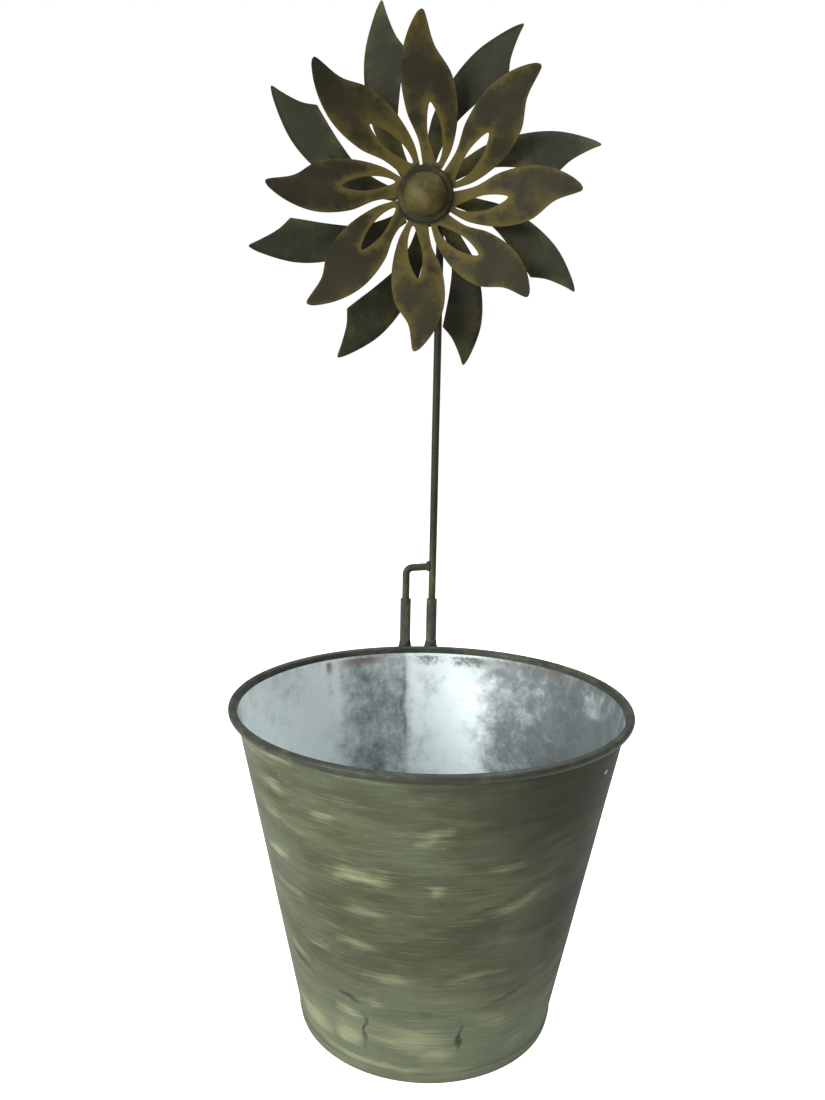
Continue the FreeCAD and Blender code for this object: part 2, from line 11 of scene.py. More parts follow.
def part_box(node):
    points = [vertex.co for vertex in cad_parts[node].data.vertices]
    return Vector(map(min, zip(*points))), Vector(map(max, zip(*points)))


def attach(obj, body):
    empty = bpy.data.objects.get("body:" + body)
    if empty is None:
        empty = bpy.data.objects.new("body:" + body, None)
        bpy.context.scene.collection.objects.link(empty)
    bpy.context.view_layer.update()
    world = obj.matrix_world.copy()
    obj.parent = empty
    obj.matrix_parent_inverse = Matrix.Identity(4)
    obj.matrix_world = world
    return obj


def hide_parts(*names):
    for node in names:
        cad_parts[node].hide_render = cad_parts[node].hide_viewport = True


# Looks of the pinwheel planter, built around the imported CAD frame. Metres, +Z up, the wheels face -Y.

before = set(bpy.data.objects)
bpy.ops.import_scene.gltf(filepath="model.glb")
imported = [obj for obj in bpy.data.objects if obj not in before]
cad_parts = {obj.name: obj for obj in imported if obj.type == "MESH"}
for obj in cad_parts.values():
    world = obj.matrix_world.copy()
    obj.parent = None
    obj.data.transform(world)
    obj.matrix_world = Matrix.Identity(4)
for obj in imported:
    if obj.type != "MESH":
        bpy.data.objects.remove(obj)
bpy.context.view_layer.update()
scene = bpy.context.scene
MM = 0.001


# ---- Camera ----

CAMERA_PLACE = Vector((0.0, -0.4999, 0.3440))
CAMERA_YAW = math.radians(-1.35)
CAMERA_PITCH = math.radians(-9.20)
CAMERA_ROLL = math.radians(1.11)
CAMERA_LENS = 30.82


def make_camera():
    """The photograph's view of the object."""
    across = math.cos(CAMERA_PITCH)
    forward = Vector((math.sin(CAMERA_YAW) * across, math.cos(CAMERA_YAW) * across, math.sin(CAMERA_PITCH)))
    right = Vector((math.cos(CAMERA_YAW), -math.sin(CAMERA_YAW), 0))
    up = right.cross(forward)
    axis_x = right * math.cos(CAMERA_ROLL) + up * math.sin(CAMERA_ROLL)
    axis_y = up * math.cos(CAMERA_ROLL) - right * math.sin(CAMERA_ROLL)
    data = bpy.data.cameras.new("camera")
    data.lens = CAMERA_LENS
    camera = bpy.data.objects.new("camera", data)
    turn = Matrix((axis_x, axis_y, -forward)).transposed().to_4x4()
    camera.matrix_world = Matrix.Translation(CAMERA_PLACE) @ turn
    scene.collection.objects.link(camera)
    scene.camera = camera


make_camera()


# ---- Sizes, from the frame's boxes and the sheet's thickness ----

def low(node):
    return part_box(node)[0]


def high(node):
    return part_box(node)[1]


def middle(node):
    return (low(node) + high(node)) / 2


SHEET = 0.8 * MM
RIM_RADIUS = high("pot_wall").x
RIM_TOP = high("pot_wall").z
WIRE_RADIUS = (high("rim_wire").z - low("rim_wire").z) / 2
BEAD_RADIUS = WIRE_RADIUS + SHEET
BEAD_CENTRE = RIM_RADIUS - BEAD_RADIUS
BEAD_HEIGHT = RIM_TOP - BEAD_RADIUS
WALL_TOP = RIM_RADIUS - 2 * BEAD_RADIUS + SHEET
FLANGE = high("pot_base").z
WALL_SLOPE = (WALL_TOP - high("pot_base").x - SHEET) / (BEAD_HEIGHT - FLANGE)
WALL_FOOT = WALL_TOP - WALL_SLOPE * BEAD_HEIGHT
HEM = 5 * MM


def wall_radius(height):
    """The outside of the wall's cone."""
    return WALL_FOOT + WALL_SLOPE * height


STEM = middle("stem_rod")
LEG = middle("leg_socket")
ROD_RADIUS = (high("stem_rod").x - low("stem_rod").x) / 2
TUBE_RADIUS = (high("stem_socket").x - low("stem_socket").x) / 2
TUBE_BORE = TUBE_RADIUS - 0.7 * MM
AXLE = middle("axle_sleeve")
AXLE_RADIUS = 3 * MM


# ---- Mesh helpers ----

ON_AXIS = 1e-7            # a lathe's point this near to the axis is a single vertex
ROD_SIDES = 28
ROD_END = 0.5 * MM        # softening of a rod's ends
BLOB_RINGS = 24
BLOB_SIDES = 36
BLOB_ROUGHNESS = 0.12


def new_piece(name, verts, faces, materials, sharp=35):
    """A smooth-shaded mesh with sharp edges above an angle and every face turned outwards."""
    mesh = bpy.data.meshes.new(name)
    mesh.from_pydata([tuple(v) for v in verts], [], faces)
    mesh.validate()
    shell = bmesh.new()
    shell.from_mesh(mesh)
    bmesh.ops.recalc_face_normals(shell, faces=shell.faces)
    shell.to_mesh(mesh)
    shell.free()
    for material in materials:
        mesh.materials.append(material)
    mesh.shade_smooth()
    mesh.set_sharp_from_angle(angle=math.radians(sharp))
    piece = bpy.data.objects.new(name, mesh)
    scene.collection.objects.link(piece)
    return piece


def settle(piece, body, slot, *nodes):
    """Tie a finished piece to its body and hide the CAD nodes that it stands for. The slot is not used."""
    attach(piece, body)
    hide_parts(*nodes)
    return piece


def rounded(corners, steps=4):
    """Points along a profile whose corners are (x, y) or (x, y, radius), with each radius drawn as an arc."""
    points = []
    count = len(corners)
    for index, corner in enumerate(corners):
        here = Vector(corner[:2])
        radius = corner[2] if len(corner) == 3 else 0
        if radius == 0 or index in (0, count - 1):
            points.append(here)
            continue
        before = (Vector(corners[index - 1][:2]) - here).normalized()
        after = (Vector(corners[index + 1][:2]) - here).normalized()
        half = before.angle(after) / 2
        centre = here + (before + after).normalized() * (radius / math.sin(half))
        start = here + before * (radius / math.tan(half)) - centre
        end = here + after * (radius / math.tan(half)) - centre
        for step in range(steps + 1):
            share = step / steps
            direction = start.slerp(end, share) if start.angle(end) > 1e-4 else start
            points.append(centre + direction.normalized() * radius)
    return points


def subdivide(points, spacing):
    """The same line with points no further apart than the spacing."""
    result = [points[0]]
    for start, end in zip(points, points[1:]):
        pieces = max(1, math.ceil((end - start).length / spacing))
        result += [start.lerp(end, step / pieces) for step in range(1, pieces + 1)]
    return result


def ring_rows(count, sides, first=0):
    """Vertex numbers of rings that are added one after the other."""
    return [list(range(first + ring * sides, first + (ring + 1) * sides)) for ring in range(count)]


def skin(rings, closed=False):
    """Faces between neighbouring rings of vertex numbers. A ring may be one number repeated, for a point."""
    pairs = list(zip(rings, rings[1:]))
    if closed:
        pairs.append((rings[-1], rings[0]))
    faces = []
    for lower, upper in pairs:
        for side in range(len(lower)):
            after = (side + 1) % len(lower)
            face = [lower[side], lower[after], upper[after], upper[side]]
            face = [v for i, v in enumerate(face) if v != face[i - 1]]
            if len(face) > 2:
                faces.append(face)
    return faces


def lathe(name, profile, materials, place, sides=64, closed=True, shape=None, sharp=35):
    """A profile of (radius, height) points turned about Z, then put in place by a matrix.
    The shape function may move a point: it gets the radius, the height and the angle."""
    rings = []
    verts = []
    for radius, height in profile:
        if radius < ON_AXIS:
            rings.append([len(verts)] * sides)
            verts.append(place @ Vector((0, 0, height)))
            continue
        rings.append(list(range(len(verts), len(verts) + sides)))
        for side in range(sides):
            angle = 2 * math.pi * side / sides
            r, z = shape(radius, height, angle) if shape else (radius, height)
            verts.append(place @ Vector((r * math.cos(angle), r * math.sin(angle), z)))
    return new_piece(name, verts, skin(rings, closed), materials, sharp)


def rod(name, path, radius, materials):
    """A round bar along a path in one plane, with softened ends."""
    stations = []
    for index, point in enumerate(path):
        along = (path[min(index + 1, len(path) - 1)] - path[max(index - 1, 0)]).normalized()
        stations.append((point, along, radius))
    start, first_way, _ = stations[0]
    end, last_way, _ = stations[-1]
    stations[:1] = [(start, first_way, radius - ROD_END), (start + first_way * ROD_END, first_way, radius)]
    stations[-1:] = [(end - last_way * ROD_END, last_way, radius), (end, last_way, radius - ROD_END)]
    verts = []
    for point, along, size in stations:
        out = Vector((0, 1, 0)).cross(along).normalized()
        across = along.cross(out)
        for side in range(ROD_SIDES):
            angle = 2 * math.pi * side / ROD_SIDES
            verts.append(point + (out * math.cos(angle) + across * math.sin(angle)) * size)
    rings = ring_rows(len(stations), ROD_SIDES)
    return new_piece(name, verts, skin(rings) + [rings[0], rings[-1]], materials)


def lumpy(point, size, seed):
    """A smooth random number from -1 to 1 that changes over the given distance."""
    return noise.noise(Vector(point) / size + Vector((seed, 2.3 * seed, -1.7 * seed)))


def blob(name, centre, radii, materials, seed):
    """A lump of weld: an ellipsoid with uneven swellings."""
    verts = []
    for ring in range(1, BLOB_RINGS):
        tilt = math.pi * ring / BLOB_RINGS
        for side in range(BLOB_SIDES):
            turn = 2 * math.pi * side / BLOB_SIDES
            out = Vector((math.sin(tilt) * math.cos(turn), math.sin(tilt) * math.sin(turn), math.cos(tilt)))
            swell = 1 + BLOB_ROUGHNESS * (lumpy(out, 0.7, seed) + 0.5 * lumpy(out, 0.25, seed + 5))
            verts.append(centre + Vector([o * r for o, r in zip(out, radii)]) * swell)
    top, bottom = len(verts), len(verts) + 1
    pole = Vector((0, 0, radii[2]))
    verts += [centre + pole, centre - pole]
    rings = [[top] * BLOB_SIDES] + ring_rows(BLOB_RINGS - 1, BLOB_SIDES) + [[bottom] * BLOB_SIDES]
    return new_piece(name, verts, skin(rings), materials, 80)


# ---- Materials ----

def rgb(red, green, blue):
    """A colour given as 0-255 screen values, as the linear values that the shader takes."""
    def linear(value):
        value /= 255
        return value / 12.92 if value <= 0.04045 else ((value + 0.055) / 1.055) ** 2.4
    return (linear(red), linear(green), linear(blue), 1.0)


class Graph:
    """A material's nodes, with a short method for each kind of step."""

    def __init__(self, name, **shader_values):
        self.material = bpy.data.materials.new(name)
        self.material.use_nodes = True
        self.tree = self.material.node_tree
        self.tree.nodes.clear()
        self.shader = self.add("ShaderNodeBsdfPrincipled")
        output = self.add("ShaderNodeOutputMaterial")
        self.tree.links.new(self.shader.outputs[0], output.inputs["Surface"])
        self.place = self.add("ShaderNodeTexCoord").outputs["Object"]
        for socket, value in shader_values.items():
            self.shader.inputs[socket.replace("_", " ")].default_value = value

    def add(self, kind, **settings):
        node = self.tree.nodes.new(kind)
        for name, value in settings.items():
            setattr(node, name, value)
        return node

    def feed(self, socket, value):
        if isinstance(value, bpy.types.NodeSocket):
            self.tree.links.new(value, socket)
        else:
            socket.default_value = value

    def shader_input(self, name, value):
        self.feed(self.shader.inputs[name], value)

    def stretch(self, factors):
        node = self.add("ShaderNodeVectorMath", operation="MULTIPLY")
        self.feed(node.inputs[0], self.place)
        node.inputs[1].default_value = factors
        return node.outputs[0]

    def noise(self, scale, detail=3, stretch=(1, 1, 1), rough=0.5, warp=0.0):
        node = self.add("ShaderNodeTexNoise")
        self.feed(node.inputs["Vector"], self.stretch([s * scale for s in stretch]))
        node.inputs["Scale"].default_value = 1
        node.inputs["Detail"].default_value = detail
        node.inputs["Roughness"].default_value = rough
        node.inputs["Distortion"].default_value = warp
        return node.outputs[0]

    def cells(self, scale, output="Distance"):
        node = self.add("ShaderNodeTexVoronoi")
        self.feed(node.inputs["Vector"], self.stretch((scale, scale, scale)))
        node.inputs["Scale"].default_value = 1
        return node.outputs[output]

    def math(self, operation, a, b=0.0):
        node = self.add("ShaderNodeMath", operation=operation)
        self.feed(node.inputs[0], a)
        self.feed(node.inputs[1], b)
        return node.outputs[0]

    def total(self, *terms):
        """The sum of (value, weight) pairs."""
        result = None
        for value, weight in terms:
            part = self.math("MULTIPLY", value, weight)
            result = part if result is None else self.math("ADD", result, part)
        return result

    def ramp(self, value, start, end, to_start=0.0, to_end=1.0):
        """A smooth step between two values."""
        node = self.add("ShaderNodeMapRange", interpolation_type="SMOOTHSTEP")
        for socket, number in zip(node.inputs, (value, start, end, to_start, to_end)):
            self.feed(socket, number)
        return node.outputs[0]

    def contour(self, field, width):
        """1 along the lines where a noise crosses its middle, falling to 0 at the width."""
        away = self.math("ABSOLUTE", self.math("SUBTRACT", field, 0.5))
        return self.ramp(away, 0.0, width, 1.0, 0.0)

    def mix(self, factor, first, second):
        node = self.add("ShaderNodeMix", data_type="RGBA")
        self.feed(node.inputs[0], factor)
        self.feed(node.inputs[6], first)
        self.feed(node.inputs[7], second)
        return node.outputs[2]

    def attribute(self, name):
        """The red, green and blue channels of a colour painted on the mesh."""
        node = self.add("ShaderNodeAttribute", attribute_name=name)
        split = self.add("ShaderNodeSeparateColor")
        self.feed(split.inputs[0], node.outputs["Color"])
        return split.outputs[0], split.outputs[1], split.outputs[2]

    def up(self):
        """The height of the place."""
        node = self.add("ShaderNodeSeparateXYZ")
        self.feed(node.inputs[0], self.place)
        return node.outputs["Z"]

    def finish(self, colour, roughness, height, depth):
        """Set the colour, the roughness and a bump of the given depth in metres."""
        self.shader_input("Base Color", colour)
        self.shader_input("Roughness", roughness)
        bump = self.add("ShaderNodeBump")
        bump.inputs["Strength"].default_value = 1.0
        bump.inputs["Distance"].default_value = depth
        self.feed(bump.inputs["Height"], height)
        self.shader_input("Normal", bump.outputs[0])
        return self.material


def pot_paint():
    """Olive-grey paint brushed around the pot, with cream strokes, dark marks and painted shade painted on
    the mesh, and painted light towards the foot.
    """
    g = Graph("pot_paint", Specular_IOR_Level=0.07)
    cream, dark, chip = g.attribute("paint")
    patches = g.noise(20, 4, (1, 1, 1.6))
    smears = g.noise(15, 4, (1, 1, 4.5), 0.6, 0.5)
    streaks = g.noise(24, 5, (1, 1, 10), 0.6, 0.3)
    bristles = g.noise(60, 4, (1, 1, 20), 0.65)
    colour = g.mix(g.ramp(patches, 0.34, 0.66), rgb(73, 75, 56), rgb(88, 95, 76))
    colour = g.mix(g.ramp(smears, 0.44, 0.74, 0.0, 0.55), colour, rgb(114, 115, 88))
    colour = g.mix(g.ramp(streaks, 0.34, 0.5, 0.4, 0.0), colour, rgb(64, 65, 50))
    colour = g.mix(g.ramp(bristles, 0.5, 0.72, 0.0, 0.3), colour, rgb(124, 126, 102))
    # Painted light: the paint is paler towards the foot, as if lit from the floor.
    paler_foot_painted_light = g.ramp(g.up(), 0.0, 80 * MM, 1.0, 0.0)
    colour = g.mix(g.math("MULTIPLY", paler_foot_painted_light, 0.42), colour, rgb(136, 146, 122))
    body = g.total((cream, 0.9), (streaks, 1.0), (bristles, 1.3), (paler_foot_painted_light, 0.15))
    colour = g.mix(g.ramp(body, 1.2, 2.25, 0.0, 0.68), colour, rgb(160, 162, 126))
    # Dark marks and painted shade from the dark channel: the paint is darker over the right side and under
    # the rim.
    dark_marks_and_painted_shade = g.total((dark, 0.8), (streaks, 0.5), (bristles, 0.3))
    colour = g.mix(g.ramp(dark_marks_and_painted_shade, 0.52, 1.08, 0.0, 0.85), colour, rgb(43, 45, 33))
    specks = g.ramp(g.cells(230), 0.06, 0.1, 1.0, 0.0)
    rare = g.ramp(g.noise(75, 1), 0.68, 0.72)
    bare = g.math("MAXIMUM", g.ramp(chip, 0.4, 0.6), g.math("MULTIPLY", specks, rare))
    colour = g.mix(bare, colour, rgb(206, 206, 190))
    height = g.total((streaks, 0.5), (bristles, 0.6), (g.ramp(body, 1.2, 2.1), 0.3), (bare, -0.6))
    rough = g.total((streaks, 0.22), (g.ramp(body, 1.2, 2.1), 0.12), (patches, 0.1))
    return g.finish(colour, g.math("ADD", rough, 0.36), height, 0.12 * MM)


def pot_zinc():
    """Bare galvanised sheet: mottling, painted reflections as light and dark stripes down the wall with a
    painted shadow line by the lap seam, scratches, stains at the rim.
    """
    g = Graph("pot_zinc", Metallic=0.3, Specular_IOR_Level=0.35)
    rust, smear, ochre = g.attribute("paint")
    # Painted reflections: light and dark stripes down the wall, stored on the mesh, with a painted shadow
    # line by the lap seam.
    painted_light_reflection, painted_dark_reflection_and_shade, _ = g.attribute("painted_reflections")
    grain = g.noise(430, 4, rough=0.7)
    mottle = g.noise(120, 5, rough=0.65)
    cloud = g.noise(30, 4)
    tone = g.total((grain, 0.4), (mottle, 0.8), (cloud, 0.7), (painted_light_reflection, 0.55), (painted_dark_reflection_and_shade, -0.55))
    colour = g.mix(g.ramp(tone, 0.42, 1.46), rgb(101, 108, 109), rgb(242, 252, 252))
    spangle = g.cells(150, output="Color")
    colour = g.mix(g.ramp(spangle, 0.2, 0.8, 0.0, 0.05), colour, rgb(206, 216, 218))
    lines = g.contour(g.noise(14, 1, (1, 1, 1.5), warp=0.3), 0.006)
    scratches = g.math("MULTIPLY", lines, g.ramp(g.noise(30, 2), 0.5, 0.6))
    arcs = g.contour(g.noise(30, 1, (1, 1, 2.6), warp=0.3), 0.012)
    rubs = g.math("MULTIPLY", arcs, g.ramp(g.noise(24, 3), 0.5, 0.62))
    marks = g.math("MAXIMUM", g.math("MULTIPLY", scratches, 0.14), g.math("MULTIPLY", rubs, 0.1))
    colour = g.mix(marks, colour, rgb(234, 240, 240))
    yellowed = g.total((ochre, 0.9), (mottle, 0.7))
    colour = g.mix(g.ramp(yellowed, 0.5, 1.35, 0.0, 0.6), colour, rgb(136, 118, 92))
    rusted = g.total((rust, 0.8), (mottle, 0.6), (grain, 0.3))
    colour = g.mix(g.ramp(rusted, 0.6, 1.3, 0.0, 0.8), colour, rgb(104, 74, 62))
    spotted = g.ramp(g.total((smear, 0.4), (grain, 0.6), (mottle, 0.5)), 0.66, 0.9)
    spots = g.math("MULTIPLY", spotted, g.ramp(smear, 0.05, 0.6))
    colour = g.mix(g.math("MULTIPLY", spots, 0.75), colour, rgb(74, 66, 56))
    stained = g.math("MAXIMUM", rust, g.math("MAXIMUM", smear, ochre))
    rough = g.total((cloud, 0.16), (mottle, 0.14), (stained, 0.3))
    height = g.total((grain, 0.3), (mottle, 0.4), (marks, -0.5), (spots, 0.3))
    return g.finish(colour, g.math("ADD", rough, 0.34), height, 0.05 * MM)


def worn_paint(name, dark, light, rubbed, scale=60, wear=0.5, stretch=(1, 1, 1), roughness=0.55,
               depth=0.08, edges=0.0, edge_layer=None, specular=0.2, above=None, patchy=0.3):
    """Mottled paint, rubbed to another colour in soft patches. The wear moves how much of it is rubbed, and
    edges says how much more the rims painted on the mesh are. above gives two heights and the colour that the
    paint turns to between them."""
    g = Graph(name, Specular_IOR_Level=specular)
    shade = rgb(*[0.7 * value for value in dark])
    mottle = g.noise(scale, 5, stretch, 0.6)
    cloud = g.noise(scale * 0.35, 3, stretch)
    fine = g.noise(scale * 6, 4, stretch, 0.65)
    colour = g.mix(g.ramp(g.total((mottle, 0.6), (cloud, 0.4)), 0.38, 0.64), rgb(*dark), rgb(*light))
    amount = g.total((g.ramp(mottle, 0.38, 0.62), patchy), (g.ramp(cloud, 0.36, 0.64), 0.14), (fine, 0.36))
    if edge_layer:
        rim, arms, fold = g.attribute(edge_layer)
        amount = g.total((amount, 1.0), (rim, edges), (arms, 0.34))
        # Painted shadow: the paint is darker along the rear petals' turned-back fold.
        shadow = g.ramp(g.total((fold, 1.0), (fine, 0.3)), 0.35, 0.95, 0.0, 0.7)
        colour = g.mix(shadow, colour, shade)
    start = 0.62 - 0.5 * wear
    colour = g.mix(g.ramp(amount, start, start + 0.42, 0.0, 0.9), colour, rgb(*rubbed))
    grime = g.ramp(g.noise(scale * 2.2, 5, stretch, 0.7), 0.55, 0.72, 0.0, 0.5)
    colour = g.mix(grime, colour, shade)
    chips = g.math("MULTIPLY", g.ramp(g.cells(scale * 6), 0.08, 0.13, 1.0, 0.0), g.ramp(mottle, 0.62, 0.68))
    colour = g.mix(g.math("MULTIPLY", chips, 0.5), colour, rgb(*[min(255, 1.5 * value) for value in rubbed]))
    if above:
        start, end, tone = above
        colour = g.mix(g.ramp(g.up(), start, end, 0.0, 0.8), colour, rgb(*tone))
    rough = g.total((mottle, 0.2), (fine, 0.14), (chips, -0.1))
    height = g.total((mottle, 0.5), (fine, 0.45), (chips, -0.5), (amount, 0.2))
    return g.finish(colour, g.math("ADD", rough, roughness - 0.16), height, depth * MM)


def bare_steel(name, tone, roughness):
    """Dull zinc-plated steel with turning marks and dark grime."""
    g = Graph(name, Metallic=0.9)
    cloud = g.noise(140, 4)
    fine = g.noise(900, 3)
    marks = g.noise(300, 2, (1, 4, 1))
    darker = [0.6 * value for value in tone]
    colour = g.mix(g.ramp(cloud, 0.36, 0.66), rgb(*darker), rgb(*tone))
    colour = g.mix(g.ramp(g.noise(260, 5, rough=0.7), 0.55, 0.72, 0.0, 0.6), colour, rgb(62, 54, 40))
    rough = g.total((cloud, 0.2), (fine, 0.1))
    height = g.total((fine, 0.3), (marks, 0.4), (cloud, 0.3))
    return g.finish(colour, g.math("ADD", rough, roughness - 0.15), height, 0.03 * MM)


POT_PAINT = pot_paint()
POT_ZINC = pot_zinc()
RIM_PAINT = worn_paint("rim_paint", (52, 56, 48), (66, 70, 60), (88, 90, 74), 110, 0.42, (1, 1, 3), 0.45)
TUBE_PAINT = worn_paint("tube_paint", (60, 63, 54), (81, 82, 70), (116, 112, 88), 110, 0.55, (1, 1, 0.4), 0.5)
ROD_PAINT = worn_paint("rod_paint", (54, 51, 37), (74, 70, 50), (104, 96, 66), 120, 0.5, (1, 1, 0.35),
                       above=(0.225, 0.262, (36, 34, 26)))
WELD_PAINT = worn_paint("weld_paint", (50, 53, 43), (68, 70, 57), (98, 94, 68), 160, 0.5, depth=0.2)
BRACKET_PAINT = worn_paint("bracket_paint", (46, 50, 44), (70, 74, 64), (110, 112, 94), 80, 0.5)
FRONT_PAINT = worn_paint("front_petal_paint", (44, 42, 28), (54, 51, 34), (88, 78, 39), 48, 0.2,
                         edges=0.38, edge_layer="edge", roughness=0.62, specular=0.1, patchy=0.24)
REAR_PAINT = worn_paint("rear_petal_paint", (45, 46, 34), (56, 57, 43), (78, 73, 42), 40, 0.36,
                        edges=0.2, edge_layer="edge", roughness=0.62, specular=0.1)
PLATE_PAINT = worn_paint("hub_plate_paint", (46, 44, 32), (60, 57, 40), (84, 76, 44), 90, 0.5, specular=0.12)
CAP_PAINT = worn_paint("cap_paint", (64, 59, 32), (84, 76, 40), (100, 90, 48), 90, 0.5, roughness=0.55)
FASTENER = bare_steel("fastener_steel", (150, 148, 138), 0.36)
BUSH_METAL = bare_steel("bush_metal", (168, 150, 104), 0.34)


# ---- Pot ----
# Angles go round from the front: 0 faces -Y and 90 is towards +X.

POT_SIDES = 320
LAP_ANGLE = -170.0        # the lap seam's edge inside the wall
LAP_WIDTH = 5.0           # the edge outside is this much further round, in degrees
LAP_STEP = 0.45 * MM
LAP_FADE = 26.0           # the lapped sheet comes back to the cone over this angle
STEP_GAP = 0.05           # the two sides of a lap's edge are this far apart, in degrees

# Brush strokes of cream paint on the front: angle, height in mm, half length in degrees, half height in mm,
# rise in mm per degree, strength.
CREAM_STROKES_AND_HEM_HIGHLIGHT = [
    (-45, 174, 10, 3, 0.0, 0.9), (-20, 174, 16, 2, 0.0, 0.45), (-50, 157, 14, 5, 0.05, 0.7),
    (-54, 139, 9, 5, 0.1, 0.6), (-30, 150, 7, 6, 0.3, 0.6), (1, 147, 6, 5, 0.5, 0.7),
    (-19, 122, 15, 6, 0.05, 1.0), (-54, 117, 9, 5, -0.1, 1.0), (3, 119, 5, 4, 0.1, 0.8),
    (23, 128, 10, 4, 0.15, 0.7), (44, 140, 20, 6, 0.3, 0.6), (-17, 102, 11, 4, 0.0, 0.7),
    (-52, 98, 12, 5, -0.15, 0.6), (-22, 81, 13, 3.5, 0.05, 0.95), (31, 107, 14, 5, 0.25, 0.65),
    (-55, 61, 10, 6, -0.4, 0.75), (18, 66, 15, 4, 0.1, 0.6), (-12, 65, 12, 4, 0.0, 0.6),
    (-19, 49, 6, 4, 0.0, 0.7), (-29, 38, 8, 3, 0.0, 0.95), (-6, 28, 19, 13, 0.0, 0.6),
    (6, 17, 9, 6, 0.0, 0.85), (-31, 22, 9, 9, 0.0, 0.95), (-51, 20, 15, 10, -0.1, 1.0),
    # The long stroke along the hem, 7.5 mm up, is partly cream paint and partly a painted highlight on the
    # hem.
    (28, 35, 11, 6, -0.2, 0.6), (-20, 7.5, 50, 2.6, 0.0, 1.0), (45, 58, 12, 4, 0.3, 0.45),
    (-38, 72, 8, 3, -0.1, 0.55), (40, 16, 12, 4, 0.1, 0.4),
]
# Darker marks in the same terms: low edges of older paint and dark streaks, with painted shade under the rim
# and in broad patches over the right side, away from the key light.
DARK_MARKS_AND_PAINTED_SHADE = [
    (-52, 52, 12, 2.6, -0.35, 0.7), (-28, 49, 14, 2.4, -0.1, 0.75), (0, 45, 16, 2.2, -0.05, 0.7),
    (-22.5, 28, 1.3, 20, 0.0, 0.8), (13.5, 28, 1.3, 18, 0.0, 0.7), (34, 50, 20, 2.4, 0.5, 0.6),
    (22, 108, 16, 2.2, 0.5, 0.55), (52, 162, 26, 8, 0.1, 0.8), (60, 90, 22, 12, 0.3, 0.6),
    (48, 120, 22, 6, 0.4, 0.6), (58, 40, 20, 10, 0.2, 0.5), (0, 172, 40, 2, 0.0, 0.5),
    (52, 165, 62, 70, 0.0, 0.85), (66, 95, 48, 80, 0.0, 0.8),
    (84, 90, 42, 130, 0.0, 1.0),
]
BARE_CHIPS = [(-14, 168, 0.9, 1.6, 0.0, 1.0), (58.5, 162, 1.7, 1.6, -0.3, 1.0)]
# Stains on the zinc below the rim at the back, and painted reflections: light and dark stripes down the wall,
# with a painted shadow line beside the lap seam's edge.
RUST_STAINS = [(206, 175, 13, 7, 0.0, 0.95), (219, 173, 2.2, 8, 0.0, 1.0)]
DARK_SMEARS = [(182, 175, 12, 9, 0.0, 0.8), (166, 175, 13, 9, 0.1, 0.9), (155, 177, 10, 6, 0.0, 0.6)]
OCHRE_STAINS = [(134, 176, 30, 8, 0.0, 0.8), (112, 177, 18, 6, 0.0, 0.7), (168, 170, 22, 10, 0.0, 0.4)]
PAINTED_LIGHT_REFLECTIONS = [
    (172, 95, 20, 140, 0.0, 1.0), (186, 150, 6, 60, 0.0, 1.0), (217, 150, 4.5, 60, 0.0, 1.0),
    (226, 130, 12, 150, 0.0, 1.0), (238, 120, 60, 190, 0.0, 0.8), (247, 140, 7, 90, 0.0, 0.9),
    (112, 166, 9, 12, 0.0, 0.9),
]
PAINTED_DARK_REFLECTIONS_AND_SHADE = [
    (204, 130, 18, 190, 0.0, 0.7), (144, 130, 26, 190, 0.0, 0.8), (130, 130, 34, 200, 0.0, 0.85),
    (190.5, 150, 1.0, 50, 0.0, 0.8), (108, 130, 46, 200, 0.0, 1.0),
]
BACK_STROKES = 46
STROKE_SOFTNESS = 1.5
STROKE_DRIFT = 3.0        # how far a stroke's edge wanders, in mm and degrees
STROKE_DRIFT_SIZE = 22 * MM


def stroke_mask(strokes, angles, heights):
    """How strongly the strokes cover each point, fading softly from a stroke's middle to its edge."""
    cover = np.zeros_like(angles)
    for angle, height, half_length, half_height, rise, strength in strokes:
        around = (angles - angle + 180) % 360 - 180
        along = np.clip(1 - (around / half_length) ** 2, 0, 1)
        across = np.clip(1 - ((heights - height - rise * around) / half_height) ** 2, 0, 1)
        cover = np.maximum(cover, strength * (along * across) ** STROKE_SOFTNESS)
    return cover


def paint_layer(piece, name, channels):
    """Store three channels as a colour on the piece's vertices."""
    layer = piece.data.color_attributes.new(name, "FLOAT_COLOR", "POINT")
    colours = np.stack(channels + [np.ones_like(channels[0])], axis=1)
    layer.data.foreach_set("color", colours.astype(np.float32).ravel())


def back_strokes():
    """Strokes scattered over the part of the pot that faces away."""
    chance = random.Random(11)
    strokes = []
    for _ in range(BACK_STROKES):
        strokes.append((
            chance.uniform(76, 284), chance.uniform(8, 172), chance.uniform(6, 18),
            chance.uniform(2.5, 7), chance.uniform(-0.15, 0.2), chance.uniform(0.45, 1.0),
        ))
    return strokes


def pot_angles():
    """Angles round the pot, with two close together at each edge of the lap seam."""
    angles = [360 * side / POT_SIDES - 180 for side in range(POT_SIDES)]
    for edge in (LAP_ANGLE, LAP_ANGLE - LAP_WIDTH):
        angles = [a for a in angles if abs(a - edge) > 4 * STEP_GAP]
        angles += [edge - STEP_GAP, edge + STEP_GAP]
    return sorted(angles)


def lap_offset(angle, edge):
    """How far the lapped sheet stands off the cone: most at its edge, less over the angle before it."""
    past = (edge - angle) % 360
    return LAP_STEP * max(0.0, 1 - past / LAP_FADE) ** 2


